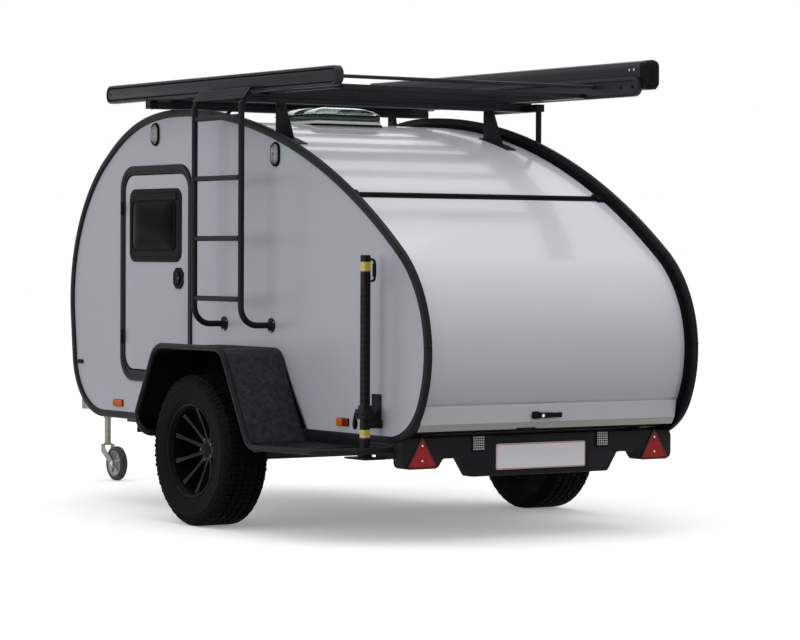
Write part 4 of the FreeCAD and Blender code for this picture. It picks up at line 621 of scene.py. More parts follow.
outline = {
    "corners": [  # x ahead of the axle, height and radius, from the front low corner over the roof
        (1.803, 0.454, 0.343), (1.912, 1.533, 0.913), (1.208, 2.007, 1.06), (0.834, 2.063, 1.6),
        (-0.453, 2.04, 3.34), (-1.695, 1.067, 0.6), (-1.439, 0.454, 0.3),
    ],
    "skinDrop": 0.052,  # skin below the trim's outer edge
    "shell": 0.03,
    "hinge": -0.855,  # hinge line ahead of the axle
    "hingeGap": 0.012,
}
corners = np.array(outline["corners"])
bodyLine = roundedPath(corners[:, :2] + (axleX, 0), corners[:, 2], closed=True)
bodyOut = mitres(bodyLine)
bodyArc = np.concatenate([[0], np.cumsum(np.linalg.norm(np.diff(bodyLine, axis=0), axis=1))])
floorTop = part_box("floor_panel")[1].z
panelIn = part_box("roof_panel")[1].y
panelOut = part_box("side_panel_left")[1].y
trimIn, trimOut = (corner.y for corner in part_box("trim_left"))


def lineAt(s, depth=0.0):
    # The outline's point at length s from its start, moved in by the depth.
    line = bodyLine - bodyOut * depth
    return np.stack([np.interp(s, bodyArc, line[:, k]) for k in (0, 1)], -1)


def crossing(depth, axis, level, last=False):
    # The length at which the moved-in outline first, or last, passes a level.
    value = (bodyLine - bodyOut * depth)[:, axis] - level
    k = np.nonzero(value[:-1] * value[1:] <= 0)[0][-1 if last else 0]
    return bodyArc[k] + (bodyArc[k + 1] - bodyArc[k]) * value[k] / (value[k] - value[k + 1])


def steps(start, end, *also):
    inside = bodyArc[(bodyArc > start + 0.002) & (bodyArc < end - 0.002)]
    return np.unique(np.concatenate([[start], inside, [end], also]))


def skinGrid(s, widths, depth):
    # Point (i, j) is the moved-in outline at length s[i], at widths[j] across the trailer.
    line = lineAt(s, depth)
    return np.stack([np.stack([line[:, 0], np.full(len(s), y), line[:, 1]], -1) for y in widths], 1)


drop = outline["skinDrop"]
inner = drop + outline["shell"]
hingeArc = crossing(drop, 0, axleX + outline["hinge"])
frontArc = crossing(drop, 1, floorTop)
lightLow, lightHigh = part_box("skylight_frame")


def roofSkin():
    # The roof's two skins from the floor in front to the hinge, open under the roof light.
    edge = 0.028
    ahead = crossing(drop, 0, lightHigh.x - edge)
    behind = crossing(drop, 0, lightLow.x + edge)
    s = steps(frontArc, hingeArc - outline["hingeGap"], ahead, behind)
    widths = [-panelIn, lightLow.y + edge, lightHigh.y - edge, panelIn]
    keep = np.ones((len(s) - 1, 3), bool)
    middle = (s[:-1] + s[1:]) / 2
    keep[(middle > ahead) & (middle < behind), 1] = False
    shape = shellGrid(skinGrid(s, widths, drop), skinGrid(s, widths, inner), keep)
    # The roof takes the paler copy of the skin paint, painted light against the rack's shade.
    addPiece("roof_skin", shape, "roofPaint", 0.002, replaces=("roof_panel",))


hatch = {
    "half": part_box("hatch")[1].y,
    "crease": 0.632,  # height where the skin meets the straight sill
    "sill": (0.0145, -0.084),  # run of the sill, forward and down
    "lip": (0.022, -0.03),  # run of the folded lip under it
    "lipDeep": 0.034,
}
creaseArc = crossing(drop, 1, hatch["crease"], last=True)


def hatchSkin():
    # The tail's two skins from the hinge down to the crease, then a sill and a lip, each a straight section
    # carried across the hatch.
    s = steps(hingeArc + outline["hingeGap"], creaseArc)
    half = hatch["half"]
    top = lineAt(creaseArc, drop)
    low = top + hatch["sill"]
    tip = low + hatch["lip"]
    turn = top * [[0.9], [0.97]] + low * [[0.1], [0.03]]
    outer = np.vstack([lineAt(s, drop)[:-1], top + (0.001, 0.004), turn[1:], turn[:1], low])
    under = np.vstack([lineAt(s, inner)[:-1], lineAt(creaseArc, inner), turn[1:] + (0.02, 0),
        turn[:1] + (0.02, 0), low + (0.02, 0.003)])
    grids = [np.stack([onSide(line, y) for y in (-half, half)], 1) for line in (outer, under)]
    addPiece("hatch_skin", shellGrid(*grids), "skin", 0.003, replaces=("hatch",), body="hatch")
    lip = np.array([low + (0.0012, 0.0002), tip, tip + (hatch["lipDeep"], 0.002),
        low + (hatch["lipDeep"], 0.003)])
    addPiece("hatch_lip", between(onSide, lip, -half, half), "sill", 0.002, body="hatch")
    plate = rectangle(0.075, tip[1] - 0.004, 0.185, tip[1] + 0.01, 0.004, 3)
    tongue = rectangle(0.112, tip[1] - 0.009, 0.148, tip[1] + 0.004, 0.003, 3)
    shape = joined(stacked(onRear, plate, tip[0], (0, 0.03), (0, -0.003), (0.001, -0.004)),
        stacked(onRear, tongue, tip[0], (0, 0.02), (0, -0.006), (0.001, -0.007)),
        *[bolt((tip[0] - 0.0035, y, tip[1] + 0.003), "x", 0.004, 0.0022, -1) for y in (0.086, 0.174)])
    addPiece("hatch_striker", shape, "moulded", body="hatch")


def hingeStrip():
    # A half-round bead over the hinge line, with a flange lying on each skin.
    normal = unit(lineAt(hingeArc, 0.0) - lineAt(hingeArc, 0.01))
    along = np.array([normal[1], -normal[0]])
    centre = lineAt(hingeArc, drop)
    half = hatch["half"]
    t = np.linspace(0, math.pi, 13)[:, None]
    bead = centre + 0.0105 * (np.cos(t) * along + np.sin(t) * normal)
    bead = np.vstack([bead, centre - 0.009 * along - 0.006 * normal,
        centre + 0.009 * along - 0.006 * normal])
    addPiece("hinge_bead", between(onSide, bead, -half, half), "seal",
        replaces=("hatch_hinge",))
    for side, way in sides.items():
        cover = roundedPath([centre + along * 0.03 - normal * 0.004,
            centre + along * 0.024 + normal * 0.016, centre - along * 0.03 + normal * 0.014,
            centre - along * 0.04 - normal * 0.004], 0.004, closed=True, turnStep=0.4)
        shape = between(onSide, cover, way * (half + 0.0045), way * (half - 0.045))
        addPiece("hinge_cover_" + side, shape, "seal", 0.0015)
    for name, way, owner in (("hinge_flange_roof", 1, "trailer"), ("hinge_flange_hatch", -1, "hatch")):
        near, far = centre + way * 0.0118 * along, centre + way * 0.026 * along
        flat = np.array([near, far, far + 0.0022 * normal, near + 0.0032 * normal])
        addPiece(name, between(onSide, flat, -half, half), "seal", 0.0006, body=owner)


def trimSection(grow=0.0):
    # Depth and width of the edge moulding: a rounded bar with a shallow groove along its outer face.
    inside, outside = trimIn, trimOut + grow
    near, far = inside + 0.004, inside + 0.012
    points = [(-grow, inside), (-grow, near), (0.0014 - grow, near + 0.0008), (0.0014 - grow, far),
        (-grow, far + 0.0008), (-grow, outside), (0.038 + grow, outside), (0.038 + grow, inside)]
    return roundedPath(points, (0.003, 0, 0, 0, 0, 0.011, 0.01, 0.002), closed=True, turnStep=0.3)


def edgeTrims():
    # The section carried right round the outline, with thin collars where two lengths meet.
    section = trimSection()
    moulding = loft([onSide(bodyLine - bodyOut * u, v) for u, v in section], ring=True)
    onBothSides("trim_*_moulding", moulding, "trim", node="trim_*")
    collar = trimSection(0.0007)
    collars = []
    for s in (crossing(0, 1, 1.335, last=True), crossing(0, 1, 0.905, last=True), crossing(0, 1, 1.3),
            crossing(0, 0, axleX + 0.35)):
        ends = [np.array([lineAt(place, u) for u in collar[:, 0]]) for place in (s - 0.0022, s + 0.0022)]
        collars.append(loft([np.insert(end, 1, collar[:, 1], axis=1) for end in ends]))
    onBothSides("trim_*_joints", joined(*collars), "seal")


def skinSeals():
    # Rubber strips up the inner faces of the trims, from the floor in front to the tail.
    s = steps(frontArc, crossing(drop, 1, floorTop + 0.01, last=True))
    shapes = []
    face = panelIn - 0.005
    for depth0, depth1, low, high in ((0.036, 0.0535, face, panelIn + 0.0005),
            (0.0505, 0.0535, face - 0.009, face)):
        shapes.append((skinGrid(s, [low, high], depth0), skinGrid(s, [low, high], depth1)))
    roofPart = s < hingeArc
    wall = shellGrid(*shapes[0])
    lap = shellGrid(shapes[1][0][roofPart], shapes[1][1][roofPart])
    addPiece("skin_seals", bothSides(joined(wall, lap)), "seal", 0.0008)
    widths = [panelIn + 0.001, trimIn + 0.001]
    outer, under = (np.stack([onSide(bodyLine - bodyOut * depth, y) for y in widths], 1)
        for depth in (0.034, 0.0385))
    edge = loft(np.stack([outer[:, 0], outer[:, 1], under[:, 1], under[:, 0]], 1), ring=True)
    addPiece("panel_edge_seals", bothSides(edge), "seal")


roofSkin()
hatchSkin()
hingeStrip()
edgeTrims()
skinSeals()
print("body skins made")


# Doors, their frames, windows and latches. Left-hand shapes are mirrored for the right.

frameLow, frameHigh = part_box("door_frame_left")
paneLow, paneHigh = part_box("door_window_left")
latchLow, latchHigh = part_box("door_latch_left")
hingeX, hingeY = joints["door_left_hinge"]["pos_m"][:2]
door = {
    "rear": axleX + 0.594, "front": axleX + 1.249, "low": 0.72, "high": 1.732,
    "bend": 0.085, "gap": 0.005, "proud": 0.004, "thick": 0.031,
    "frameBend": 0.125,
}
doorFace = panelOut + door["proud"]


def doorPanels():
    # The door's edge is rounded, then its face runs in to the window's hole and back through it.
    loop = rectangle(door["rear"], door["low"], door["front"], door["high"], door["bend"], 12)
    hole = rectangle(paneLow.x + 0.018, paneLow.z + 0.018, paneHigh.x - 0.018, paneHigh.z - 0.018, 0.037, 12)
    back = -door["thick"]
    rings = [onSide(inset(line, depth), doorFace + y)
        for line, depth, y in ((loop, 0, back), (loop, 0, -0.004), (loop, 0.0005, -0.0022),
        (loop, 0.0018, -0.0006), (loop, 0.004, 0), (hole, 0, 0), (hole, 0, back))]
    onBothSides("door_skin_*", loft(rings, ring=True), "side", node="door_*", body="door_*")
    lip = stacked(onSide, loop, doorFace, (-0.0042, -0.006), (-0.0042, -0.0022), (-0.0022, -0.0012),
        (-0.0003, -0.0022), (-0.0003, -0.006), ring=True)
    onBothSides("door_seal_*", lip, "seal", body="door_*")


def doorFrames():
    # A stepped moulding from the frame's outer edge to the door's gap: t runs across it, y out of the wall.
    outer = rectangle(frameLow.x, frameLow.z, axleX + 1.299, frameHigh.z, door["frameBend"], 12)
    gap = door["gap"]
    inside = rectangle(door["rear"] - gap, door["low"] - gap, door["front"] + gap, door["high"] + gap,
        door["bend"] + gap, 12)
    section = [(0, -0.001), (0, 0.0045), (0.02, 0.0072), (0.07, 0.0092), (0.16, 0.01), (0.56, 0.01),
        (0.63, 0.009), (0.66, 0.0062), (0.7, 0.0052), (0.74, 0.006), (0.8, 0.008), (0.9, 0.0082),
        (0.97, 0.0066), (1, 0.004), (1, -0.026)]
    rings = [onSide(outer * (1 - t) + inside * t, panelOut + y) for t, y in section]
    onBothSides("door_frame_moulding_*", loft(rings, ring=True), "trim", sharp=50,
        node="door_frame_*")


def doorHinges():
    # Knuckles on the frame, and a thin leaf from the door's front edge out to each.
    knuckles, straps = [], []
    for z in (door["low"] + 0.17, door["high"] - 0.17):
        for low, high in ((-0.035, -0.013), (-0.011, 0.011), (0.013, 0.035)):
            knuckles.append(revolved([(0, low), (0.0068, low), (0.007, low + 0.001), (0.007, high - 0.001),
                (0.0068, high), (0, high)], (hingeX, hingeY, z), "z", 20, False))
        strap = rectangle(door["front"] - 0.003, z - 0.033, hingeX - 0.006, z + 0.033, 0.003, 3)
        straps.append(stacked(onSide, strap, doorFace, (0, 0.0012), (0, 0.006)))
    onBothSides("hinge_knuckles_*", joined(*knuckles), "powder")
    onBothSides("hinge_straps_*", joined(*straps), "powder", 0.0012, body="door_*")


window = {
    "flange": 0.0055,  # frame out of the door
    "paneRear": axleX + 0.715, "paneFront": axleX + 1.164, "paneLow": 1.343, "paneHigh": 1.596,
    "paneBend": 0.034, "bulge": 0.017,
}


def windowFrames():
    # A flat flange with a soft edge, a groove round it, and a step down to the pane.
    loop = rectangle(paneLow.x, paneLow.z, paneHigh.x, paneHigh.z, 0.055, 12)
    hole = rectangle(window["paneRear"] - 0.006, window["paneLow"] - 0.006, window["paneFront"] + 0.006,
        window["paneHigh"] + 0.006, 0.036, 12)
    out = window["flange"]
    rings = [onSide(inset(line, depth), doorFace + y) for line, depth, y in ((loop, 0, -0.0005),
        (loop, 0, out * 0.5), (loop, 0.0022, out * 0.93), (loop, 0.006, out), (loop, 0.0225, out + 0.0012),
        (loop, 0.024, out - 0.0015), (loop, 0.0275, out - 0.0015), (loop, 0.029, out - 0.0002),
        (hole, 0, out - 0.0012), (hole, 0.003, out - 0.004), (hole, 0.003, -0.026), (loop, 0.0185, -0.026),
        (loop, 0.0185, -0.0005))]
    onBothSides("window_frame_*", loft(rings, ring=True), "moulded", sharp=24,
        body="door_*")
    rail = np.array([(0, 0), (0.0035, 0.001), (0.0075, 0.006), (0.008, 0.012), (0.0052, 0.017),
        (0.0052, 0.0205), (0.0082, 0.023), (0.0086, 0.031), (0.0048, 0.0355), (0, 0.037)])
    face = doorFace + out - 0.002
    ends = [np.column_stack([np.full(len(rail), x), face + rail[:, 0],
        window["paneHigh"] + 0.003 + rail[:, 1]]) for x in (window["paneRear"] - 0.01,
        window["paneFront"] + 0.01)]
    onBothSides("window_hinge_rail_*", loft(ends), "moulded", 0.0008, body="door_*")


def windowPanes():
    # From its edge inwards the pane rises as bulge * (1 - (1 - u) ** 5) ** 0.8, with u from 0 to 1.
    loop = rectangle(window["paneRear"], window["paneLow"], window["paneFront"], window["paneHigh"],
        window["paneBend"], 12)
    middle = np.array([(window["paneRear"] + window["paneFront"]) / 2,
        (window["paneLow"] + window["paneHigh"]) / 2])
    base = doorFace + 0.0035
    shares = np.array([0, 0.02, 0.05, 0.09, 0.14, 0.2, 0.28, 0.38, 0.5, 0.64, 0.8, 0.93])
    rise = window["bulge"] * (1 - (1 - shares) ** 5.0) ** 0.8
    pane = bulged(onSide, loop, middle, shares, base + rise, base + rise - 0.0035, 0.992)
    onBothSides("window_pane_*", pane, "smoked", sharp=60, node="door_window_*",
        body="door_*")
    rim = stacked(onSide, loop, base, (-0.0035, -0.002), (-0.0035, 0.0035), (0.0, 0.0055), (0.0035, 0.007),
        (0.0065, 0.0062), (0.0065, 0.003), ring=True)
    onBothSides("window_rim_*", rim, "seal", sharp=50, body="door_*")


def doorLatches():
    # An eight-sided plate with a round dished recess; in it a paddle and a lock barrel.
    x, z = (latchLow.x + latchHigh.x) / 2, (latchLow.z + latchHigh.z) / 2
    cut = 0.026
    a, b = 0.05, 0.054
    plate = doubled([(a - cut, -b), (a, cut - b), (a, b - cut), (a - cut, b)], 0) + (x, z)
    plate = roundedPath(plate, 0.008, closed=True, chord=0.02, turnStep=0.2)
    angle = np.arctan2(plate[:, 1] - z, plate[:, 0] - x)
    dish = np.stack([x + 0.038 * np.cos(angle), z + 0.04 * np.sin(angle)], 1)
    rings = [onSide(plate, doorFace), onSide(plate, doorFace + 0.005),
        onSide(inset(plate, 0.0025), doorFace + 0.0075), onSide(inset(plate, 0.008), doorFace + 0.0085),
        onSide(dish, doorFace + 0.008), onSide((dish - (x, z)) * 0.95 + (x, z), doorFace + 0.004),
        onSide((dish - (x, z)) * 0.8 + (x, z), doorFace + 0.0015)]
    onBothSides("latch_plate_*", loft(rings), "moulded", sharp=28, node="door_latch_*",
        body="door_*")
    paddle = rectangle(x - 0.012, z - 0.033, x + 0.031, z + 0.033, 0.012, 5)
    paddleRings = stacked(onSide, paddle, doorFace, (0, 0.001), (0, 0.0085), (0.003, 0.0112), (0.01, 0.01))
    onBothSides("latch_paddle_*", paddleRings, "moulded", sharp=28, body="door_*")
    barrel = revolved([(0, 0), (0.0115, 0), (0.0115, 0.0125), (0.01, 0.014), (0.0065, 0.014),
        (0.006, 0.013), (0, 0.013)], (x - 0.014, doorFace + 0.001, z), "y", 28, False)
    onBothSides("latch_barrel_*", barrel, "trim", body="door_*")
    slot = block((x - 0.018, doorFace + 0.0139, z - 0.0009), (x - 0.01, doorFace + 0.0144, z + 0.0009))
    onBothSides("latch_keyhole_*", slot, "screw", body="door_*")


doorPanels()
doorFrames()
doorHinges()
windowFrames()
windowPanes()
doorLatches()
print("doors made")


# Lamps and small fittings on the side panels.

def sideLamps():
    # A black oval base, a black bezel with a raised lip, and a domed lens with ribs moulded across it.
    lens, bezel, base = [], [], []
    low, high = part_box("side_lamps")
    half = 0.04, 0.06
    centres = [(high.x - half[0], high.z - half[1]), (low.x + half[0], low.z + half[1])]
    for x, z in centres:
        loop = rectangle(x - half[0], z - half[1], x + half[0], z + half[1], half[0], 12)
        base.append(stacked(onSide, loop, panelOut, (0, -0.001), (0, 0.004), (0.0015, 0.0055)))
        bezel.append(stacked(onSide, loop, panelOut, (0.002, 0.004), (0.002, 0.0085), (0.0035, 0.0105),
            (0.006, 0.0112), (0.009, 0.0102), (0.0105, 0.0065), (0.0105, 0.004), ring=True))
        middle = np.array([x, z])
        rings = [onSide(middle + (inset(loop, 0.0105) - middle) * share, panelOut + 0.005 + out)
            for share, out in ((1, -0.0005), (0.99, 0.004), (0.94, 0.0075), (0.84, 0.01), (0.68, 0.0117),
            (0.48, 0.0126), (0.24, 0.0129))]
        lens.append(loft(rings))
        for step in range(-4, 5):
            bar = rectangle(x - 0.0235, z + step * 0.0098 - 0.0013, x + 0.0235, z + step * 0.0098 + 0.0013,
                0.001, 2)
            base.append(stacked(onSide, bar, panelOut, (0, 0.012), (0, 0.0178)))
    addPiece("side_lamp_bases", bothSides(joined(*base)), "moulded")
    addPiece("side_lamp_bezels", bothSides(joined(*bezel)), "moulded")
    addPiece("side_lamp_lenses", bothSides(joined(*lens)), "lampDome",
        replaces=("side_lamps",))


def sideMarkers():
    # A black foot, then a lens with upright ribs: each rib is a half round out of the face.
    foot, front, amber, dark = [], [], [], []
    low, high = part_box("marker_lamps")
    for x, z, parts in ((high.x - 0.05, 0.535, (front, front)), (low.x + 0.05, 0.54, (amber, dark))):
        loop = rectangle(x - 0.05, z - 0.019, x + 0.05, z + 0.019, 0.006, 4)
        foot.append(stacked(onSide, loop, panelOut, (0, -0.001), (0, 0.004), (0.001, 0.005)))
        for way, shapes in zip((1, -1), parts):
            u0, u1 = sorted((x + way * 0.0004, x + way * 0.0475))
            lens = rectangle(u0, z - 0.0165, u1, z + 0.0165, 0.003, 3)
            shapes.append(stacked(onSide, lens, panelOut, (0, 0.004), (0, 0.0105), (0.0015, 0.0118)))
            for rib in np.linspace(u0 + 0.005, u1 - 0.005, 8):
                strip = rectangle(rib - 0.0015, z - 0.014, rib + 0.0015, z + 0.014, 0.0012, 2)
                shapes.append(stacked(onSide, strip, panelOut, (0, 0.011), (0.0006, 0.0129)))
    addPiece("marker_feet", bothSides(joined(*foot)), "moulded")
    addPiece("marker_lens_front", bothSides(joined(*front)), "amber",
        replaces=("marker_lamps",))
    addPiece("marker_lens_amber", bothSides(joined(*amber)), "amber")
    addPiece("marker_lens_red", bothSides(joined(*dark)), "redMarker")


def sideFittings():
    # A small black inlet on the left panel near the front edge, and its rounded cap.
    x, z = axleX + 1.752, 0.742
    plate = rectangle(x - 0.03, z - 0.011, x + 0.026, z + 0.011, 0.005, 4)
    shape = stacked(onSide, plate, panelOut, (0, -0.001), (0, 0.006), (0.002, 0.008))
    addPiece("side_vent", shape, "moulded")


# Roof light: white surround, black joint, clear dome.

def roofLight():
    low, high = lightLow, lightHigh
    edges = {"wall": 0.012, "top": high.z, "bend": 0.045}
    loop = rectangle(low.x, low.y, high.x, high.y, edges["bend"], 8)
    base = low.z
    rim = high.z - 0.03
    rings = stacked(onTop, loop, 0, (0.028, base), (0.0, base + 0.002), (0.0, rim - 0.006),
        (0.003, rim - 0.001), (0.006, rim), (0.026, rim), (0.03, rim - 0.004), (0.03, base), ring=True)
    addPiece("skylight_surround", rings, "white", sharp=40, replaces=("skylight_frame",))
    rings = stacked(onTop, loop, 0, (0.003, rim - 0.001), (0.003, high.z - 0.006), (0.006, high.z - 0.002),
        (0.028, high.z - 0.002), (0.028, rim - 0.001), ring=True)
    addPiece("skylight_band", rings, "greenBand", sharp=40)
    domeLow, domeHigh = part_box("skylight_dome")
    domeLoop = rectangle(domeLow.x, domeLow.y, domeHigh.x, domeHigh.y, edges["bend"] - 0.01, 8)
    rise = domeHigh.z + 0.01 - domeLow.z
    middle = np.array([(domeLow.x + domeHigh.x) / 2, (domeLow.y + domeHigh.y) / 2])
    shares = np.array([0, 0.02, 0.05, 0.1, 0.18, 0.3, 0.45, 0.65, 0.85])
    profile = rise * (1 - (1 - shares) ** 3.2) ** 0.72
    bubble = bulged(onTop, domeLoop, middle, shares, domeLow.z + profile,
        domeLow.z + np.maximum(profile - 0.004, 0), 0.985)
    addPiece("skylight_bubble", bubble, "clear", sharp=60, replaces=("skylight_dome",))
    strip = rectangle(domeLow.x - 0.003, domeLow.y - 0.003, domeHigh.x + 0.003, domeHigh.y + 0.003, 0.038, 8)
    rings = stacked(onTop, strip, 0, (0, high.z - 0.002), (0, high.z + 0.001), (0.004, high.z + 0.002),
        (0.008, high.z + 0.001), (0.008, high.z - 0.002), ring=True)
    foot = rectangle(low.x - 0.006, low.y - 0.006, high.x + 0.006, high.y + 0.006, edges["bend"], 8)
    gasket = stacked(onTop, foot, 0, (0, base + 0.004), (0, base + 0.012), (0.002, base + 0.014),
        (0.008, base + 0.014), (0.008, base + 0.004), ring=True)
    addPiece("skylight_gasket", gasket, "seal", sharp=50)
    addPiece("skylight_joint", rings, "seal", sharp=50)


sideLamps()
sideMarkers()
sideFittings()
roofLight()
print("lamps and roof light made")


# Roof rack: crossbars, slatted deck, feet, stay.

def rackBars():
    # Two extrusions with a slot along each side face and along the underside.
    low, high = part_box("rack_crossbars")
    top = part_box("rack_deck")[0].z
    for name, x in (("front", axleX + 0.835), ("rear", axleX - 0.052)):
        h = 0.0325
        loop = doubled([(0.007, 0.006), (0.007, 0), (h, 0), (h, 0.012), (h - 0.006, 0.015),
            (h - 0.006, 0.026), (h, 0.029), (h, top - low.z)], 0) + (x, low.z)
        bar = between(onSide, loop, -0.8435, 0.8435)
        addPiece("crossbar_%s_rail" % name, bar, "rack", 0.0012,
            replaces=("rack_crossbars",) if name == "front" else ())
        cap = rectangle(x - h, low.z, x + h, top, 0.006, 3)
        caps = bothSides(between(onSide, cap, 0.8432, 0.845))
        addPiece("crossbar_%s_caps" % name, caps, "moulded")
        clampBody = block((x - 0.025, 0.8455, low.z), (x + 0.025, high.y, top))
        wing = block((x - 0.025, high.y - 0.012, top - 0.002), (x + 0.025, high.y, top + 0.012))
        shelf = block((x - 0.025, -0.89, top), (x + 0.025, -0.8305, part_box("awning_right")[0].z))
        screw = joined(bolt((x, high.y - 0.001, low.z + 0.02), "y", 0.006, 0.001),
            bolt((x - 0.012, 0.862, low.z), "z", 0.006, 0.004, -1))
        addPiece("awning_clamp_" + name, joined(clampBody, shelf, wing), "powder", 0.002)
        addPiece("awning_clamp_screws_" + name, screw, "powder")


def rackDeck():
    # Two side rails with a rounded outer edge, and slats that are shallow channels with rolled edges.
    low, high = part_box("rack_deck")
    count, gap, edge = 9, 0.145, 0.045
    pitch = (high.x - low.x + gap) / count
    wide = pitch - gap
    section = np.array([(0, 0.004), (0.0025, 0), (0.006, 0), (0.006, 0.012), (wide - 0.006, 0.012),
        (wide - 0.006, 0), (wide - 0.0025, 0), (wide, 0.004), (wide, 0.019), (wide - 0.003, 0.0225),
        (wide - 0.027, 0.0225), (wide - 0.029, 0.021), (0.029, 0.021), (0.028, 0.0225), (0.003, 0.0225),
        (0, 0.019)])
    slat = between(onSide, section, low.y + edge - 0.004, high.y - edge + 0.004)
    slats = repeated(slat, [(low.x + i * pitch, 0, low.z) for i in range(count)])
    addPiece("deck_slats", slats, "rack", 0.0008)
    deep = high.z - low.z
    rail = np.array([(-edge, 0.001), (-0.006, 0), (0, 0.006), (0, deep - 0.006), (-0.006, deep),
        (0.01 - edge, deep), (0.008 - edge, deep - 0.003), (-edge, deep - 0.003)]) + (high.y, low.z)
    shape = between(onRear, rail, low.x + 0.004, high.x - 0.004)
    addPiece("deck_rails", bothSides(shape), "rack", 0.0015, replaces=("rack_deck",))
    ends = rectangle(high.y - edge - 0.001, low.z + 0.001, high.y - 0.001, high.z - 0.001, 0.004, 3)
    caps = joined(stacked(onRear, ends, low.x, (0, 0), (0, 0.005)),
        stacked(onRear, ends, high.x, (0, -0.005), (0, 0)))
    addPiece("deck_end_caps", bothSides(caps), "moulded", 0.001)
    heads = bolt((0, 0, high.z - 0.0025), "z", 0.006, 0.0025)
    places = [(low.x + i * pitch + 0.029, high.y - 0.02, 0) for i in range(count)]
    addPiece("deck_screws", bothSides(repeated(heads, places)), "powder")


def rackFeet():
    dressed("rack_feet", "powder", 0.0012)
    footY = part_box("rack_feet")[1].y - 0.03
    heads = [bolt((axleX + x, y + 0.003, z), "y", 0.0065, 0.005) for bar in (0.835, -0.052)
        for x, z in ((bar + 0.02, 2.052), (bar - 0.018, 2.052), (bar - 0.018, 2.034))
        for y in (footY, -footY)]
    addPiece("rack_foot_bolts", joined(*heads), "powder")


rackBars()
rackDeck()
rackFeet()
dressed("rack_stay", "powder", 0.002)
print("rack made")


# Awnings over both long sides, with the arm and the tie that carry the right one.

def fromAxle(x):
    return axleX + x


def awningLeft():
    # A rounded lid: the face steps in from a proud rim to a recessed panel with a soft edge.
    low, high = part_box("awning_left")
    loop = rectangle(low.x, low.z, high.x, high.z, 0.042, 10)
    deep = high.y - low.y
    case = stacked(onSide, loop, high.y, (0.004, -deep), (0, 0.004 - deep), (0, -0.01), (0.0015, -0.004),
        (0.004, -0.001), (0.008, 0), (0.013, 0), (0.0145, -0.008), (0.0195, -0.008), (0.021, -0.003),
        (0.023, -0.002))
    line = stacked(onSide, loop, high.y, (0.0147, -0.0085), (0.0147, -0.0062), (0.0193, -0.0062),
        (0.0193, -0.0085), ring=True)
    addPiece("awning_left_joint", line, "seal")
    addPiece("awning_left_case", case, "awning", sharp=28, replaces=("awning_left",))
    seam = rectangle(low.x + 0.002, low.z - 0.0002, high.x - 0.002, high.z - 0.0002, 0.042, 10)
    groove = stacked(onSide, seam, low.y, (0.003, 0.015), (0.0012, 0.0155), (0.0012, 0.019),
        (0.003, 0.0195), ring=True)
    addPiece("awning_left_seam", groove, "seal")
    studs = [bolt((x, high.y - 0.0022, (low.z + high.z) / 2), "y", 0.0045, 0.002)
        for x in (low.x + 0.045, high.x - 0.045)]
    addPiece("awning_left_studs", joined(*studs), "awning")


def awningRight():
    # The housing's section, y against z, runs between two thicker end caps with rounded corners.
    low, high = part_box("awning_right")
    section = np.array([(low.y + 0.0015, low.z + 0.012), (low.y + 0.01, low.z + 0.0015),
        (high.y - 0.004, low.z + 0.0015), (high.y - 0.0005, low.z + 0.006), (high.y - 0.0005, low.z + 0.03),
        (high.y - 0.005, low.z + 0.034), (high.y - 0.005, low.z + 0.041), (high.y - 0.0005, low.z + 0.045),
        (high.y - 0.0005, high.z - 0.03), (high.y - 0.01, high.z - 0.008),
        (high.y - 0.026, high.z - 0.0015), (low.y + 0.02, high.z - 0.0015), (low.y + 0.006, high.z - 0.01),
        (low.y + 0.0015, high.z - 0.026)])
    section = roundedPath(section, 0.004, closed=True, turnStep=0.5)
    body = between(onRear, section, low.x + 0.03, high.x - 0.03)
    addPiece("awning_right_case", body, "awning", sharp=28, replaces=("awning_right",))
    cap = rectangle(low.y, low.z, high.y, high.z, 0.034, 8)
    for name, end, way in (("rear", low.x, 1), ("front", high.x, -1)):
        rings = [onRear(inset(cap, depth), end + way * x) for depth, x in ((0.022, 0.0), (0.012, 0.003),
            (0.005, 0.01), (0.0, 0.024), (0.0, 0.075), (0.004, 0.082), (0.01, 0.083))]
        addPiece("awning_cap_" + name, loft(rings), "moulded", sharp=28)
        face = [bolt((end, y, z), "x", 0.0055, 0.002, -way) for y, z in ((high.y - 0.02, high.z - 0.024),
            (high.y - 0.02, low.z + 0.024), (low.y + 0.02, (low.z + high.z) / 2))]
        shape = joined(*face)
        shape = shape[0] + (way * 0.0022, 0, 0), shape[1]
        addPiece("awning_cap_screws_" + name, shape, "powder")
    strip = between(onRear, rectangle(high.y - 0.006, low.z + 0.098, high.y + 0.0, low.z + 0.104, 0.002, 2),
        low.x + 0.09, high.x - 0.09)
    dots = [bolt((low.x + x, high.y - 0.0006, high.z - 0.045), "y", 0.0045, 0.002) for x in (0.12, 0.155)]
    addPiece("awning_case_screws", joined(*dots), "screw")
    addPiece("awning_right_bead", strip, "rack")


def awningArm():
    # A long stadium-shaped beam whose two broad faces are recessed, with a bolt at each end.
    low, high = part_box("awning_arm")
    loop = rectangle(low.x, low.z, high.x, high.z, 0.047, 10)
    face = [(0.0205, 0.005), (0.018, 0.0045), (0.015, 0.0), (0.005, 0.0), (0.0015, 0.0012), (0.0, 0.0045)]
    rings = [onSide(inset(loop, depth), low.y + y) for depth, y in face]
    rings += [onSide(inset(loop, depth), high.y - y) for depth, y in face[::-1]]
    addPiece("awning_arm_beam", loft(rings), "awning", sharp=28, replaces=("awning_arm",))
    heads = []
    for x in (low.x + 0.047, low.x + 0.14, high.x - 0.14, high.x - 0.047):
        heads.append(bolt((x, high.y - 0.0052, (low.z + high.z) / 2), "y", 0.008, 0.0048))
    addPiece("awning_arm_bolts", joined(*heads), "powder")


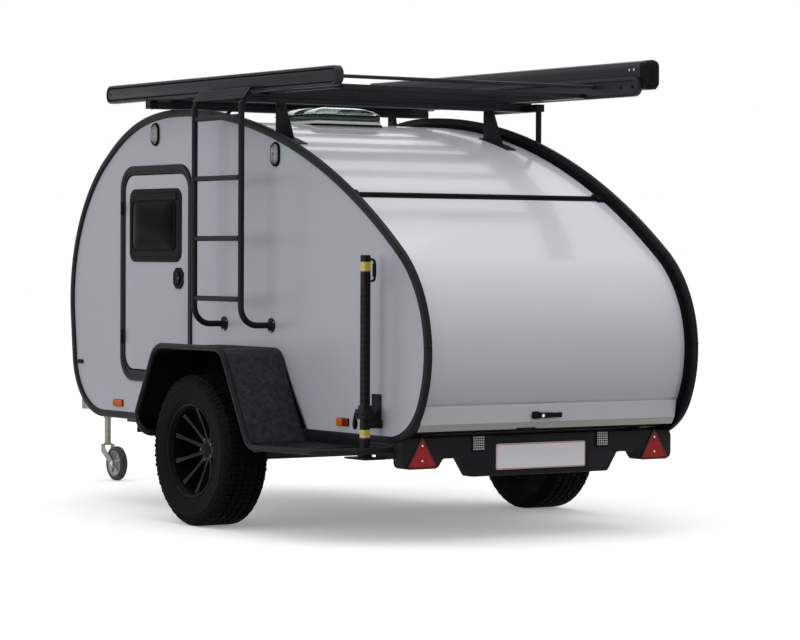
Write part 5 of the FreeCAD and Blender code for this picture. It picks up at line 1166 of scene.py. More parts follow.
def awningTie():
    # A round bar between the two awnings, with a stepped ferrule at each end and a sleeve at its middle.
    low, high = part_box("awning_tie")
    x, z, r = (low.x + high.x) / 2, (low.z + high.z) / 2, (high.z - low.z) / 2
    t = r * 0.82
    profile = [(0, low.y), (r, low.y), (r, low.y + 0.03), (t, low.y + 0.034), (t, -0.06),
        (r * 0.94, -0.057), (r * 0.94, 0.057), (t, 0.06), (t, high.y - 0.034), (r, high.y - 0.03),
        (r, high.y), (0, high.y)]
    addPiece("awning_tie_bar", revolved(profile, (x, 0, z), "y", 20, False), "rack",
        replaces=("awning_tie",))


awningLeft()
awningRight()
awningArm()
awningTie()
print("awnings made")


# Ladder on the left side.

ladder = {
    "rails": (fromAxle(0.234), fromAxle(-0.213)), "radius": 0.015, "out": 0.95, "low": 0.978, "turn": 2.045,
    "lean": 0.044, "bend": 0.09, "rungs": [1.105 + 0.294 * k for k in range(4)],
}


def ladderTubes():
    # Two rails bent in at the top and to the wall at the foot, with flanges and rungs, a brace and a ribbed
    # tread.
    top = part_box("rack_deck")[0].z
    rear, front = sorted(ladder["rails"])
    out, foot = ladder["out"], ladder["low"]
    shapes, flanges, screws = [], [], []
    for x in ladder["rails"]:
        path = roundedPath([(x, panelOut + 0.004, foot), (x, out, foot), (x, out, ladder["turn"]),
            (x, out - ladder["lean"], top)], (0, ladder["bend"], 0.045, 0))
        shapes.append(tube(path, ladder["radius"], 24))
        flanges.append(revolved([(0, 0), (0.036, 0), (0.036, 0.003), (0.0345, 0.005), (0.025, 0.0056),
            (0.0225, 0.008), (0.0205, 0.014), (0.016, 0.016), (0, 0.016)], (x, panelOut, foot), "y", 40,
            False))
        for turn in np.radians((30, 150, 270)):
            screws.append(revolved([(0, 0), (0.0038, 0), (0.0034, 0.0012), (0, 0.002)],
                (x + 0.03 * math.cos(turn), panelOut + 0.005, foot + 0.03 * math.sin(turn)), "y", 14, False))
    for z in ladder["rungs"]:
        shapes.append(revolved([(0, rear), (0.013, rear), (0.013, front), (0, front)], (0, out, z), "x", 24,
            False))
        for x, way in ((rear, 1), (front, -1)):  # weld beads round the rung's ends
            shapes.append(revolved([(0.0125, way * 0.014), (0.0162, way * 0.0143), (0.0155, way * 0.017),
                (0.0125, way * 0.0182)], (x, out, z), "x", 24))
    middle = fromAxle(-0.052)
    brace = roundedPath([(middle, out, ladder["rungs"][3]), (middle, out - 0.03, ladder["rungs"][3] + 0.03),
        (middle, out - 0.076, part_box("rack_crossbars")[0].z - 0.009)], 0.01)
    shapes.append(tube(brace, 0.009, 16))
    addPiece("ladder_tubes", joined(*shapes), "powder", replaces=("ladder",))
    addPiece("ladder_flanges", joined(*flanges), "powder")
    addPiece("ladder_screws", joined(*screws), "screw")
    start, end = rear - 0.022, front + 0.022
    lean = unit(np.array((-ladder["lean"], top - ladder["turn"])))
    face = np.array((lean[1], -lean[0]))
    foot = np.array((out - ladder["lean"], top)) - lean * 0.052 + face * 0.015
    head = foot + lean * 0.066
    tread = np.array([foot, foot + face * 0.0035, head + face * 0.0035, head])
    lip = np.array([head - lean * 0.004, head, head - face * 0.026, head - face * 0.026 - lean * 0.004])
    shape = joined(*[between(onRear, loop, start, end) for loop in (tread, lip)])
    ridge = np.array([-lean * 0.0025, lean * 0.0025, lean * 0.0015 + face * 0.0022,
        -lean * 0.0015 + face * 0.0022])
    grips = [between(onRear, ridge + foot + face * 0.003 + lean * (0.01 + 0.0115 * k), start + 0.02,
        end - 0.02) for k in range(5)]
    addPiece("ladder_tread", joined(shape, *grips), "powder", 0.0008)


ladderTubes()
print("ladder made")


# Mudguards: a bent sheet with a sprayed liner, edged by a round tube.

guard = {
    "foot": 0.44, "low": 0.43, "front": 0.535, "frontZ": 0.505, "topFront": 0.335, "topRear": -0.305,
    "top": 0.87, "rear": -0.555, "rearZ": 0.415, "out": 1.11, "radius": 0.015, "bend": 0.105, "thick": 0.004,
    "ends": {"left": -1.268, "right": -0.93}, "corner": 0.15,
}


def guardSheets():
    # The sheet's outline against its own thickness offset: outer line, then the inner line back.
    corners = [(fromAxle(guard["front"]), guard["low"]), (fromAxle(guard["front"]), guard["frontZ"]),
        (fromAxle(guard["topFront"]), guard["top"]), (fromAxle(guard["topRear"]), guard["top"]),
        (fromAxle(guard["rear"]), guard["rearZ"])]
    line = roundedPath(corners, (0, 0.06, guard["bend"], guard["bend"], 0), turnStep=0.1)
    tangent = unit(np.gradient(line, axis=0))
    normal = np.stack([-tangent[:, 1], tangent[:, 0]], 1)
    outward = normal if normal[len(line) // 2, 1] > 0 else -normal
    inner = line - outward * guard["thick"]
    wall, out = panelOut, guard["out"] - 0.006
    shape = shellGrid(np.stack([onSide(line, wall), onSide(line, out)], 1),
        np.stack([onSide(inner, wall), onSide(inner, out)], 1))
    lipOut = line + outward * 0.0015
    flangeOuter = np.stack([onSide(lipOut, wall + 0.0005), onSide(lipOut, wall + 0.006)], 1)
    flangeInner = np.stack([onSide(lipOut - outward * 0.004, wall + 0.0005),
        onSide(lipOut - outward * 0.004, wall + 0.006)], 1)
    rib = shellGrid(flangeOuter, flangeInner)
    travel = np.concatenate([[0], np.cumsum(np.linalg.norm(np.diff(line, axis=0), axis=1))])
    diamonds = []
    lozenge = np.array([(-0.0115, 0), (0, 0.003), (0.0115, 0), (0, -0.003)])
    for i, s in enumerate(np.arange(0.03, travel[-1] - 0.02, 0.024)):
        for j, y in enumerate(np.arange(wall + 0.03, out - 0.02, 0.024)):
            c, d = (0.707, 0.707) if (i + j) % 2 else (0.707, -0.707)
            spots = lozenge @ np.array([(c, d), (-d, c)])
            rings = []
            for size, lift in ((1.0, -0.0006), (0.55, 0.0016)):
                along = s + spots[:, 0] * size
                place = np.stack([np.interp(along, travel, line[:, k]) for k in (0, 1)], 1)
                raised = place + lift * np.stack([np.interp(along, travel, outward[:, k]) for k in (0, 1)],
                    1)
                rings.append(np.column_stack([raised[:, 0], y + spots[:, 1] * size, raised[:, 1]]))
            diamonds.append(loft(rings))
    # A black sheet over the side panel under the guard, and a black skin under the guard sheet: both are
    # painted shade, where the guard and the wheel keep the light off.
    under = np.vstack([inner[::-1], [(inner[0, 0], 0.494), (inner[-1, 0], 0.494)]])
    under = anticlockwise(under[under[:, 1] >= 0.4935])
    wellShade = stacked(onSide, under, trimOut, (0, 0.0004), (0, 0.0024))
    liningShade = shellGrid(*[np.stack([onSide(inner - outward * depth, y) for y in (wall + 0.001, out - 0.001)],
        1) for depth in (-0.0004, 0.0016)])
    onBothSides("wheel_well_*", wellShade, "barrel")
    onBothSides("fender_*_lining", liningShade, "barrel")
    onBothSides("fender_*_pattern", joined(*diamonds), "liner", sharp=60)
    onBothSides("fender_*_sheet", joined(shape, rib), "liner", 0.0012, node="fender_*")


def guardTubes():
    # Round tube with rounded bends; a stub post joins it to the chassis at each end.
    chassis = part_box("chassis_rails")[1].y
    for side, end in guard["ends"].items():
        points = [(guard["foot"], chassis - 0.01, guard["low"]),
            (guard["foot"], guard["out"], guard["low"]), (guard["front"], guard["out"], guard["frontZ"]),
            (guard["topFront"], guard["out"], guard["top"]), (guard["topRear"], guard["out"], guard["top"]),
            (guard["rear"], guard["out"], guard["rearZ"]), (end + guard["corner"], guard["out"],
            guard["low"] - 0.005), (end, guard["out"] - guard["corner"], guard["low"]),
            (end, chassis - 0.01, guard["low"])]
        path = roundedPath(np.array(points) + (axleX, 0, 0), (0, 0.04, 0.06, guard["bend"], guard["bend"],
            0.09, 0.07, 0.07, 0))
        shape = tube(path, guard["radius"], 22)
        if side == "left":
            x = fromAxle(-0.62)
            strap = rectangle(x - 0.022, guard["low"] - 0.034, x + 0.022, guard["low"] - 0.004, 0.006, 3)
            hanger = [stacked(onSide, strap, y, (0, 0), (0, 0.005))
                for y in (guard["out"] - 0.02, guard["out"] - 0.001)]
            hanger += [bolt((x + dx, guard["out"] + 0.004, guard["low"] - 0.024), "y", 0.0045, 0.003)
                for dx in (-0.012, 0.012)]
            addPiece("side_tube_bracket", joined(*hanger), "powder", 0.0008)
            section = np.array([(0.793, 0.03), (0.793, 0.004), (1.09, 0.004), (1.092, -0.004),
                (1.095, -0.004), (1.095, 0.008), (0.797, 0.008), (0.797, 0.03)]) + (0, guard["low"])
            board = loft([onRear(section, fromAxle(x)) for x in (guard["rear"] - 0.51,
                guard["rear"] - 0.005)])
            slots = [rectangle(fromAxle(x) - 0.016, y - 0.004, fromAxle(x) + 0.016, y + 0.004, 0.0035, 3)
                for x in np.arange(-1.03, -0.6, 0.055) for y in np.arange(0.83, 1.08, 0.045)]
            ribs = [stacked(onTop, slot, guard["low"], (0, 0.0075), (0.0012, 0.01)) for slot in slots]
            addPiece("side_board", joined(board, *ribs), "moulded")
        else:
            shape = mirrored(shape)
        addPiece("guard_tube_" + side, shape, "powder",
            replaces=("fender_tubes",) if side == "left" else ())


guardSheets()
guardTubes()
print("mudguards made")


# Wheels. Shapes are made about the left wheel's middle and mirrored for the right.

wheel = {
    "radius": 0.368, "half": 0.125, "base": 0.3565, "pitches": 44, "spokes": 10,
}
axleLine = np.array([axleX, wheelY, wheelZ])


def onWheels(name, shape, finish, bevel=0.0, sharp=32, node=""):
    onBothSides(name, (shape[0] + axleLine, shape[1]), finish, bevel, sharp, node, "wheel_*")


def crownAt(y):
    # The tread falls away from the full radius outside the middle 0.16: r = radius - 0.9 (|y| - 0.08)^1.5.
    return wheel["radius"] - 0.9 * np.clip(np.abs(y) - 0.08, 0, None) ** 1.5


def tyreCarcass():
    # Bead, rim guard, two fine rings and the bulging sidewall, then the floor of the tread grooves.
    outer = [(0.211, 0.098), (0.214, 0.1), (0.218, 0.103), (0.226, 0.1045), (0.233, 0.1075),
        (0.2375, 0.113), (0.242, 0.115), (0.245, 0.1145), (0.248, 0.1155), (0.256, 0.1172), (0.257, 0.1182),
        (0.2585, 0.1184), (0.2595, 0.1178), (0.27, 0.1202), (0.286, 0.1224), (0.3, 0.1234), (0.31, 0.1232),
        (0.311, 0.1243), (0.3128, 0.1243), (0.3138, 0.1228), (0.324, 0.1205), (0.336, 0.1165),
        (0.345, 0.112), (0.3535, 0.104), (0.359, 0.095), (0.359, 0.084), (wheel["base"], 0.07)]
    onWheels("tyre_carcass_*", revolved(doubled(outer, 1), (0, 0, 0), "y", 120), "tyre",
        sharp=50, node="tyre_*")


def around(r, turn, y):
    # The point at radius r, turned from straight up towards the front.
    return r * np.sin(turn), y, r * np.cos(turn)


def treadBlock(outline2d):
    # A block over an outline of (turn, y): its walls lean in a little from the groove floor to the crown.
    outline2d = np.asarray(outline2d, float)
    middle = outline2d.mean(0)
    rings = []
    for share, lift in ((1.04, 0.0), (1.0, 0.72), (0.985, 0.94), (0.93, 1.0)):
        turn, y = (middle + (outline2d - middle) * share).T
        low = np.minimum(wheel["base"] - 0.002, crownAt(y) - 0.01)
        rings.append(np.stack(around(low + (crownAt(y) - low) * lift, turn, y), -1))
    return loft(rings)


def tyreTread():
    # Five rows of stepped blocks, each cut by a fine sipe, and lugs that run over onto the sidewall.
    pitch = 2 * math.pi / wheel["pitches"]
    shapes = []
    rows = [  # low y, high y, skew across the row, shift round the tyre
        (-0.015, 0.015, 0.1, 0.0), (0.0205, 0.056, 0.22, 0.35), (-0.056, -0.0205, 0.22, -0.15),
        (0.0615, 0.101, -0.1, 0.12), (-0.101, -0.0615, -0.1, 0.62),
    ]
    for low, high, skew, shift in rows:
        for start, end, step in ((0.03, 0.455, 0.0), (0.485, 0.9, 0.0045)):
            a, b = (start + shift) * pitch, (end + shift) * pitch
            lean = skew * pitch
            push = lean * 0.5 + 0.06 * pitch
            bend = (low + high) / 2
            shapes.append(treadBlock([(a, low + step), (b, low + step * 0.4), (b + push, bend),
                (b + lean, high - step * 0.2), (a + lean, high - step), (a + push, bend)]))
    for side, shift in ((1, 0.12), (-1, 0.62)):
        for start, end, foot in ((0.06, 0.46, 0.329), (0.56, 0.9, 0.339)):
            a, b = (start + shift) * pitch, (end + shift) * pitch
            line = [(0.36, 0.1), (0.3555, 0.1075), (0.348, 0.113), (0.34, 0.1175), (foot, 0.1215)]
            under = [(0.347, 0.094), (0.344, 0.1), (0.339, 0.106), (0.333, 0.112), (foot, 0.1165)]
            rings = [[around(r2, a, side * y2), around(r, a + 0.006, side * y),
                around(r, b - 0.006, side * y), around(r2, b, side * y2)]
                for (r, y), (r2, y2) in zip(line, under)]
            shapes.append(loft(rings))
    onWheels("tyre_tread_*", spun(joined(*shapes), wheel["pitches"]), "tyre", sharp=28)


def rimBarrel():
    # The barrel's section from the inner flange, over the drop centre, to the outer lip and back under.
    profile = [(0.216, -0.0995), (0.23, -0.1), (0.2315, -0.096), (0.2175, -0.093), (0.215, -0.078),
        (0.198, -0.056), (0.198, 0.01), (0.215, 0.06), (0.2175, 0.096), (0.229, 0.099), (0.2318, 0.104),
        (0.231, 0.11), (0.227, 0.1118), (0.221, 0.111), (0.2165, 0.107), (0.214, 0.101), (0.208, 0.095),
        (0.205, 0.086), (0.204, 0.06), (0.19, 0.01), (0.19, -0.056), (0.207, -0.078), (0.209, -0.099)]
    onWheels("rim_barrel_*", revolved(profile, (0, 0, 0), "y", 120), "barrel", sharp=50,
        node="rim_*")


def rimSpokes():
    # Slender spokes from the hub out to the lip, whose width and depth follow smooth curves along them.
    shares = np.linspace(0, 1, 9)
    r = 0.046 + (0.2085 - 0.046) * shares
    width = 0.0125 - 0.012 * shares * (1 - shares) * 1.2 + 0.002 * shares ** 4
    face = 0.018 + 0.064 * shares ** 1.25
    deep = 0.03 - 0.01 * shares
    rings = []
    for radius, w, y, d in zip(r, width, face, deep):
        rings.append(doubled([(w * 1.15, y - d, radius), (w, y - 0.006, radius), (w * 0.8, y, radius),
            (w * 0.22, y + 0.0006, radius), (w * 0.14, y - 0.0022, radius)], 0))
    spoke = loft(rings)
    hub = revolved([(0.024, -0.034), (0.058, -0.034), (0.07, -0.01), (0.068, 0.002), (0.06, 0.014),
        (0.05, 0.0185), (0.038, 0.0195), (0.0345, 0.0165), (0.0335, 0.01), (0.024, 0.01)], (0, 0, 0), "y",
        64)
    onWheels("rim_spokes_*", joined(spun(spoke, wheel["spokes"]), hub), "alloy", 0.0012,
        sharp=30)
    cap = revolved([(0, 0.006), (0.033, 0.006), (0.033, 0.017), (0.0315, 0.0192), (0.027, 0.0206),
        (0.024, 0.02), (0.022, 0.0206), (0.011, 0.0214), (0, 0.0216)], (0, 0, 0), "y", 48, False)
    onWheels("rim_cap_*", cap, "moulded")
    nuts = []
    for k in range(5):
        turn = 2 * math.pi * (k + 0.25) / 5
        centre = around(0.0505, turn, 0.012)
        nuts.append(revolved([(0, 0), (0.0092, 0), (0.0092, 0.009), (0.008, 0.0125), (0.005, 0.0145),
            (0, 0.015)], centre, "y", 6, False))
    onWheels("rim_nuts_*", joined(*nuts), "cast", 0.0006)
    stem = tube(np.array([(0.15, 0.02, -0.13), (0.156, 0.052, -0.136)]), 0.0035, 10)
    onWheels("rim_valve_*", stem, "moulded")


tyreCarcass()
tyreTread()
rimBarrel()
rimSpokes()
print("wheels made")


# Bumper with its lamps and blank plate.

bumper = {
    "rear": fromAxle(-1.362), "deep": 0.072, "half": 0.785, "top": 0.489, "endLow": 0.347, "notchLow": 0.389,
    "middleLow": 0.3, "notchOut": 0.555, "notchIn": 0.455, "middle": 0.398, "wall": 0.004,
}


def bumperShell():
    # The outline seen from behind, rounded, with a rolled rear edge and a step in over the plate.
    b = bumper
    corners = doubled([(b["middle"], b["middleLow"], 0.02), (b["notchIn"], b["notchLow"], 0.02),
        (b["notchOut"], b["notchLow"], 0.02), (b["notchOut"] + 0.03, b["endLow"], 0.02),
        (b["half"], b["endLow"], 0.03), (b["half"], b["top"], 0.034)], 0)
    loop = roundedPath(corners[:, :2], corners[:, 2], closed=True, turnStep=0.25)
    recess = rectangle(-0.272, 0.3165, 0.272, 0.47, 0.01, 5)
    shape = stacked(onRear, loop, b["rear"], (0.0, b["deep"]), (0.0, 0.006), (0.0018, 0.0018), (0.0055, 0.0))
    addPiece("bumper_shell", shape, "powder", sharp=28, replaces=("bumper",))
    frameRings = stacked(onRear, recess, b["rear"], (-0.01, 0.0005), (-0.0085, -0.0022), (-0.004, -0.003),
        (0.0, -0.0026), (0.0012, 0.0005), ring=True)
    addPiece("plate_surround", frameRings, "powder", sharp=50)
    lights = [loft([onRear(rectangle(y - 0.024, 0.4585, y + 0.024, 0.4655, 0.003, 3), b["rear"] - x)
        for x in (0.0, 0.0022)]) for y in (-0.09, 0.09)]
    addPiece("plate_lights", joined(*lights), "moulded")
    ends = []
    for y in (b["notchIn"] + 0.028, b["half"] - 0.026):
        for way in (1, -1):
            ends.append(bolt((b["rear"] + 0.0008, way * y, b["top"] - 0.022), "x", 0.006, 0.003, -1))
    addPiece("bumper_bolts", joined(*ends), "powder")


def plateBlank():
    # A pressed sheet with a raised rounded border; the field is left blank.
    low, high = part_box("number_plate")
    loop = rectangle(low.y, low.z, high.y, high.z, 0.01, 6)
    rim = stacked(onRear, loop, high.x, (0, 0), (0, -0.002), (0.0012, -0.003), (0.0022, -0.003),
        (0.0022, 0), ring=True)
    border = stacked(onRear, loop, high.x, (0.0022, -0.003), (0.0058, -0.003), (0.0058, 0), (0.0022, 0),
        ring=True)
    field = stacked(onRear, loop, high.x, (0.0058, 0), (0.0058, -0.003), (0.007, -0.0022))
    addPiece("plate_rim", rim, "plate", replaces=("number_plate",))
    addPiece("plate_border", border, "plateLine")
    addPiece("plate_field", field, "plate")


def squareLamps():
    # A black base, a thin black edge, and a field of small diamonds standing on a black ground.
    low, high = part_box("rear_lamps")
    rear = bumper["rear"]
    bases, rims, gems, grounds = [], [], [], []
    side = high.z - low.z
    for start in (high.y - side, low.y):
        outer = rectangle(start - 0.004, low.z - 0.004, start + side + 0.004, high.z + 0.004, 0.006, 3)
        loop = rectangle(start, low.z, start + side, high.z, 0.005, 3)
        bases.append(stacked(onRear, outer, rear, (0, 0.0005), (0, -0.0022), (0.0015, -0.0032)))
        rims.append(stacked(onRear, loop, rear, (0.0, -0.002), (0.0, -0.005), (0.0015, -0.006),
            (0.003, -0.0055), (0.003, -0.002), ring=True))
        grounds.append(loft([onRear(inset(loop, 0.003), rear - x) for x in (0.002, 0.0038)]))
        size = (side - 0.009) / 6
        gem = np.array([(0, -0.48), (0.48, 0), (0, 0.48), (-0.48, 0)]) * size
        for i in range(6):
            for j in range(6):
                y, z = start + 0.0045 + (i + 0.5) * size, low.z + 0.0045 + (j + 0.5) * size
                gems.append(loft([onRear(gem + (y, z), rear - 0.0036),
                    onRear(gem * 0.85 + (y, z), rear - 0.0054)]))
    addPiece("lamp_bases", joined(*bases), "moulded")
    addPiece("lamp_rims", joined(*rims), "moulded", replaces=("rear_lamps",))
    addPiece("lamp_ground", joined(*grounds), "moulded")
    addPiece("lamp_diamonds", joined(*gems), "lampWhite", sharp=10)


def triangleLamps():
    # A black base plate, a raised border, a red field with ribs in bands, and two screws on its centre line.
    rear = bumper["rear"]
    bases, fields, edges, screws = [], [], [], []
    middle, half, tall, foot = 0.677, 0.084, 0.146, 0.35
    for way in (1, -1):
        y = way * middle
        corners = [(y + half, foot), (y, foot + tall), (y - half, foot)]
        loop = roundedPath(corners, 0.007, closed=True, turnStep=0.35)
        loop = anticlockwise(loop)
        bases.append(stacked(onRear, loop, rear, (-0.0045, 0.0005), (-0.0045, -0.0018), (-0.003, -0.0026)))
        edges.append(stacked(onRear, loop, rear, (0.0, -0.002), (0.0, -0.005), (0.0012, -0.006),
            (0.0075, -0.006), (0.0085, -0.0048), (0.0085, -0.002), ring=True))
        fields.append(loft([onRear(inset(loop, 0.0085), rear - x) for x in (0.002, 0.0046)]))
        for z in (foot + 0.034, foot + 0.103):
            screws.append(revolved([(0, 0), (0.0048, 0), (0.0044, -0.0012), (0.0025, -0.0016),
                (0, -0.0016)], (rear - 0.0044, y, z), "x", 18, False))
        for z in np.arange(foot + 0.0135, foot + tall - 0.025, 0.0075):
            reach = half * (1 - (z - foot) / tall) - 0.0175
            if reach > 0.004:
                bar = rectangle(y - reach, z - 0.001, y + reach, z + 0.001, 0.0008, 2)
                fields.append(stacked(onRear, bar, rear, (0, -0.0044), (0.0005, -0.0052)))
    addPiece("triangle_bases", joined(*bases), "moulded")
    addPiece("triangle_edges", joined(*edges), "redEdge", sharp=50,
        replaces=("rear_reflectors",))
    addPiece("triangle_fields", joined(*fields), "red")
    addPiece("triangle_screws", joined(*screws), "screw")


bumperShell()
plateBlank()
squareLamps()
triangleLamps()
print("bumper made")


# Recovery jack and its holder.

jack = {
    "x": fromAxle(-1.175), "y": 0.865, "low": 0.388, "high": 1.321, "side": 0.036,
    "grip": 0.076, "lever": 0.082, "runner": (0.5705, 0.6155),
}


def jackBar():
    # An upright bar with a rounded-square section and a row of raised rings marking round holes on two of
    # its faces.
    x, y, h = jack["x"], jack["y"], jack["side"] / 2
    loop = rectangle(x - h, y - h, x + h, y + h, 0.004, 3)
    body = loft([onTop(loop, jack["low"] + 0.008), onTop(loop, jack["high"] - 0.003),
        onTop(inset(loop, 0.003), jack["high"])])
    holes = []
    for z in np.arange(jack["low"] + 0.235, jack["high"] - 0.15, 0.03):
        holes.append(revolved([(0.0062, 0), (0.0095, 0), (0.0088, 0.001), (0.007, 0.001)], (x, y + h, z),
            "y", 18))
        holes.append(revolved([(0.0062, 0), (0.0095, 0), (0.0088, -0.001), (0.007, -0.001)], (x - h, y, z),
            "x", 18))
    addPiece("jack_bar", body, "powder", sharp=28, replaces=("recovery_jack",))
    addPiece("jack_holes", joined(*holes), "seal")
    foot = rectangle(x - 0.09, y - 0.06, x + 0.09, y + 0.06, 0.012, 4)
    plate = stacked(onTop, foot, jack["low"], (0, 0), (0, 0.006), (0.002, 0.008))
    socket = loft([onTop(rectangle(x - 0.026, y - 0.026, x + 0.026, y + 0.026, 0.006, 3), jack["low"] + z)
        for z in (0.007, 0.034)])
    addPiece("jack_foot", joined(plate, socket), "powder", 0.001)
    for name, low, high, finish in (("yellow_high", 1.256, 1.29, "bandYellow"),
            ("red_high", 1.244, 1.25, "bandRed"), ("white_high", 1.25, 1.256, "bandWhite"),
            ("yellow_low", 0.496, 0.522, "bandYellow"), ("white_low", 0.488, 0.496, "bandWhite"),
            ("red_low", 0.482, 0.488, "bandRed")):
        band = rectangle(x - h - 0.0007, y - h - 0.0007, x + h + 0.0007, y + h + 0.0007, 0.004, 3)
        addPiece("jack_band_" + name, between(onTop, band, low, high), finish)


def jackHandles():
    # A D-shaped grip at the top, the runner with its bolts, and a crank whose grip swells like a drop.
    x, y, h = jack["x"], jack["y"], jack["side"] / 2
    top = jack["high"] - 0.02
    low = jack["high"] - 0.118
    path = roundedPath([(x - h, y, top), (x - jack["grip"], y, top), (x - jack["grip"], y, low),
        (x - h, y, low)], (0, 0.02, 0.02, 0))
    grip = revolved([(0, low + 0.018), (0.0082, low + 0.018), (0.0092, low + 0.024), (0.0092, top - 0.024),
        (0.0082, top - 0.018), (0, top - 0.018)], (x - jack["grip"] + 0.003, y, 0), "z", 20, False)
    addPiece("jack_grip", joined(tube(path, 0.006, 14), grip), "moulded")
    low, high = jack["runner"]
    loop = rectangle(x - 1.0 * jack["side"], y - 0.8 * jack["side"], x + 1.2 * jack["side"],
        y + 0.8 * jack["side"], 0.006, 3)
    runner = loft([onTop(inset(loop, 0.002), low), onTop(loop, low + 0.002), onTop(loop, high - 0.002),
        onTop(inset(loop, 0.002), high)])
    upper = rectangle(x - 0.024, y - 0.024, x + 0.024, y + 0.024, 0.005, 3)
    more = stacked(onTop, upper, high, (0, -0.001), (0, 0.016), (0.003, 0.019))
    heads = [bolt((x + dx, y + 0.8 * jack["side"], (low + high) / 2), "y", 0.006, 0.0045)
        for dx in (-0.02, 0.024)]
    addPiece("jack_runner", joined(runner, more), "powder", sharp=28)
    addPiece("jack_runner_bolts", joined(*heads), "powder")
    z = (low + high) / 2 + 0.0045
    end = x + jack["lever"]
    arm = roundedPath([(x + 0.03, y, z), (end, y, z), (end, y, 0.58)], (0, 0.014, 0))
    drop = [(0, 0.5885), (0.0055, 0.5885), (0.0075, 0.578), (0.011, 0.56), (0.0125, 0.545), (0.011, 0.531),
        (0.007, 0.5215), (0, 0.518)]
    knob = revolved(drop, (end, y, 0), "z", 20, False)
    addPiece("jack_crank", joined(tube(arm, 0.006, 14), knob), "moulded")


def jackHolder():
    # A rounded wall plate with four screws, and an arm of two cheeks round the bar.
    low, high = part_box("jack_holders")
    front, rear = high.x, high.x - 0.076
    loop = rectangle(rear, low.z, front, high.z, 0.005, 3)
    plate = stacked(onSide, loop, panelOut, (0, 0), (0, 0.0045), (0.0015, 0.006))
    x, h = jack["x"], jack["side"] / 2
    y = jack["y"] - h
    arm = block((x - h, panelOut + 0.004, low.z), (x + h, y + 0.002, low.z + 0.0388))
    brace = between(onRear, np.array([(panelOut + 0.004, low.z + 0.038), (y - 0.01, low.z + 0.038),
        (panelOut + 0.004, low.z + 0.105)]), x - 0.003, x + 0.003)
    cheeks = [block((x + way * (h + 0.0025) - 0.002, y - 0.01, low.z + 0.004),
        (x + way * (h + 0.0025) + 0.002, y + 0.03, low.z + 0.034)) for way in (1, -1)]
    addPiece("holder_parts", joined(plate, arm, brace, *cheeks), "powder", 0.0015,
        replaces=("jack_holders",))
    screws = [bolt((px, panelOut + 0.0045, pz), "y", 0.0055, 0.0035)
        for px in (rear + 0.012, front - 0.012) for pz in (low.z + 0.016, high.z - 0.016)]
    addPiece("holder_screws", joined(*screws), "powder")


jackBar()
jackHandles()
jackHolder()
print("jack made")


# Running gear under the floor, drawbar, coupling and jockey wheel.

def chassisFinish():
    # Rails, cross members, axle and corner steadies under the body take the dark zinc copy as painted shade.
    # The drawbar, coupling and jockey parts out in front keep the galvanised finish.
    for node, finish, bevel in (("chassis_rails", "zincDull", 0.004), ("cross_members", "zincDull", 0.003),
            ("drawbar", "zinc", 0.006), ("axle", "zincDull", 0.003), ("coupling", "zinc", 0.003),
            ("jockey_clamp", "zinc", 0.003), ("handbrake_lever", "zinc", 0.002),
            ("jockey_tube", "zinc", 0.001), ("jockey_leg", "zinc", 0.001),
            ("corner_steady_left", "zincDull", 0.002), ("corner_steady_right", "zincDull", 0.002)):
        dressed(node, finish, bevel)
    low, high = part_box("chassis_rails")
    holes, heads = [], []
    for x in np.arange(low.x + 0.12, high.x - 0.05, 0.31):
        holes.append(revolved([(0.009, 0), (0.014, 0), (0.0125, 0.0012), (0.01, 0.0012)],
            (x, high.y, 0.458), "y", 20))
        heads.append(bolt((x + 0.06, high.y - 0.03, low.z), "z", 0.008, 0.006, -1))
    addPiece("rail_hole_rims", bothSides(joined(*holes)), "cast")
    addPiece("rail_bolts", bothSides(joined(*heads)), "screw")


def couplingFittings():
    # Bolts through the coupling and the clamp plates, grips on the lever and the crank, and a rubber cuff.
    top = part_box("drawbar")[1].z
    heads = [bolt((fromAxle(2.88) + dx, dy, top + 0.008), "z", 0.0085, 0.007) for dx in (-0.036, 0.036)
        for dy in (-0.108, -0.07, 0.07, 0.108)]
    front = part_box("coupling")[0].x + 0.012
    for z in (top - 0.02, top - 0.06):
        heads.append(bolt((front, 0.072, z), "x", 0.008, 0.0065))
        heads.append(bolt((front, -0.072, z), "x", 0.008, 0.0065))
    addPiece("drawbar_bolts", joined(*heads), "screw")
    cuff = [(0.0302, 0.0), (0.04, 0.004), (0.041, 0.012)]
    for k in range(4):
        cuff += [(0.0335, 0.018 + 0.014 * k), (0.0395, 0.025 + 0.014 * k)]
    cuff += [(0.0335, 0.074), (0.0302, 0.076)]
    shape = revolved(cuff, (front + 0.0003, 0, top - 0.04), "x", 36)
    addPiece("coupling_cuff", shape, "moulded")
    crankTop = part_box("jockey_tube")[1].z
    grip = revolved([(0.0071, crankTop - 0.072), (0.0125, crankTop - 0.07), (0.014, crankTop - 0.04),
        (0.0125, crankTop - 0.004), (0.0071, crankTop - 0.002)], (fromAxle(2.88), -0.12, 0), "z", 24)
    addPiece("crank_grip", grip, "moulded", body=nodes["jockey_tube"]["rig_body"])
    lever = roundedPath([(fromAxle(2.99) + 0.006, 0.066, top + 0.23),
        (fromAxle(2.99) + 0.026, 0.066, top + 0.2555)])
    addPiece("lever_grip", tube(lever, 0.0132, 20), "moulded", 0.002,
        body=nodes["handbrake_lever"]["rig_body"])


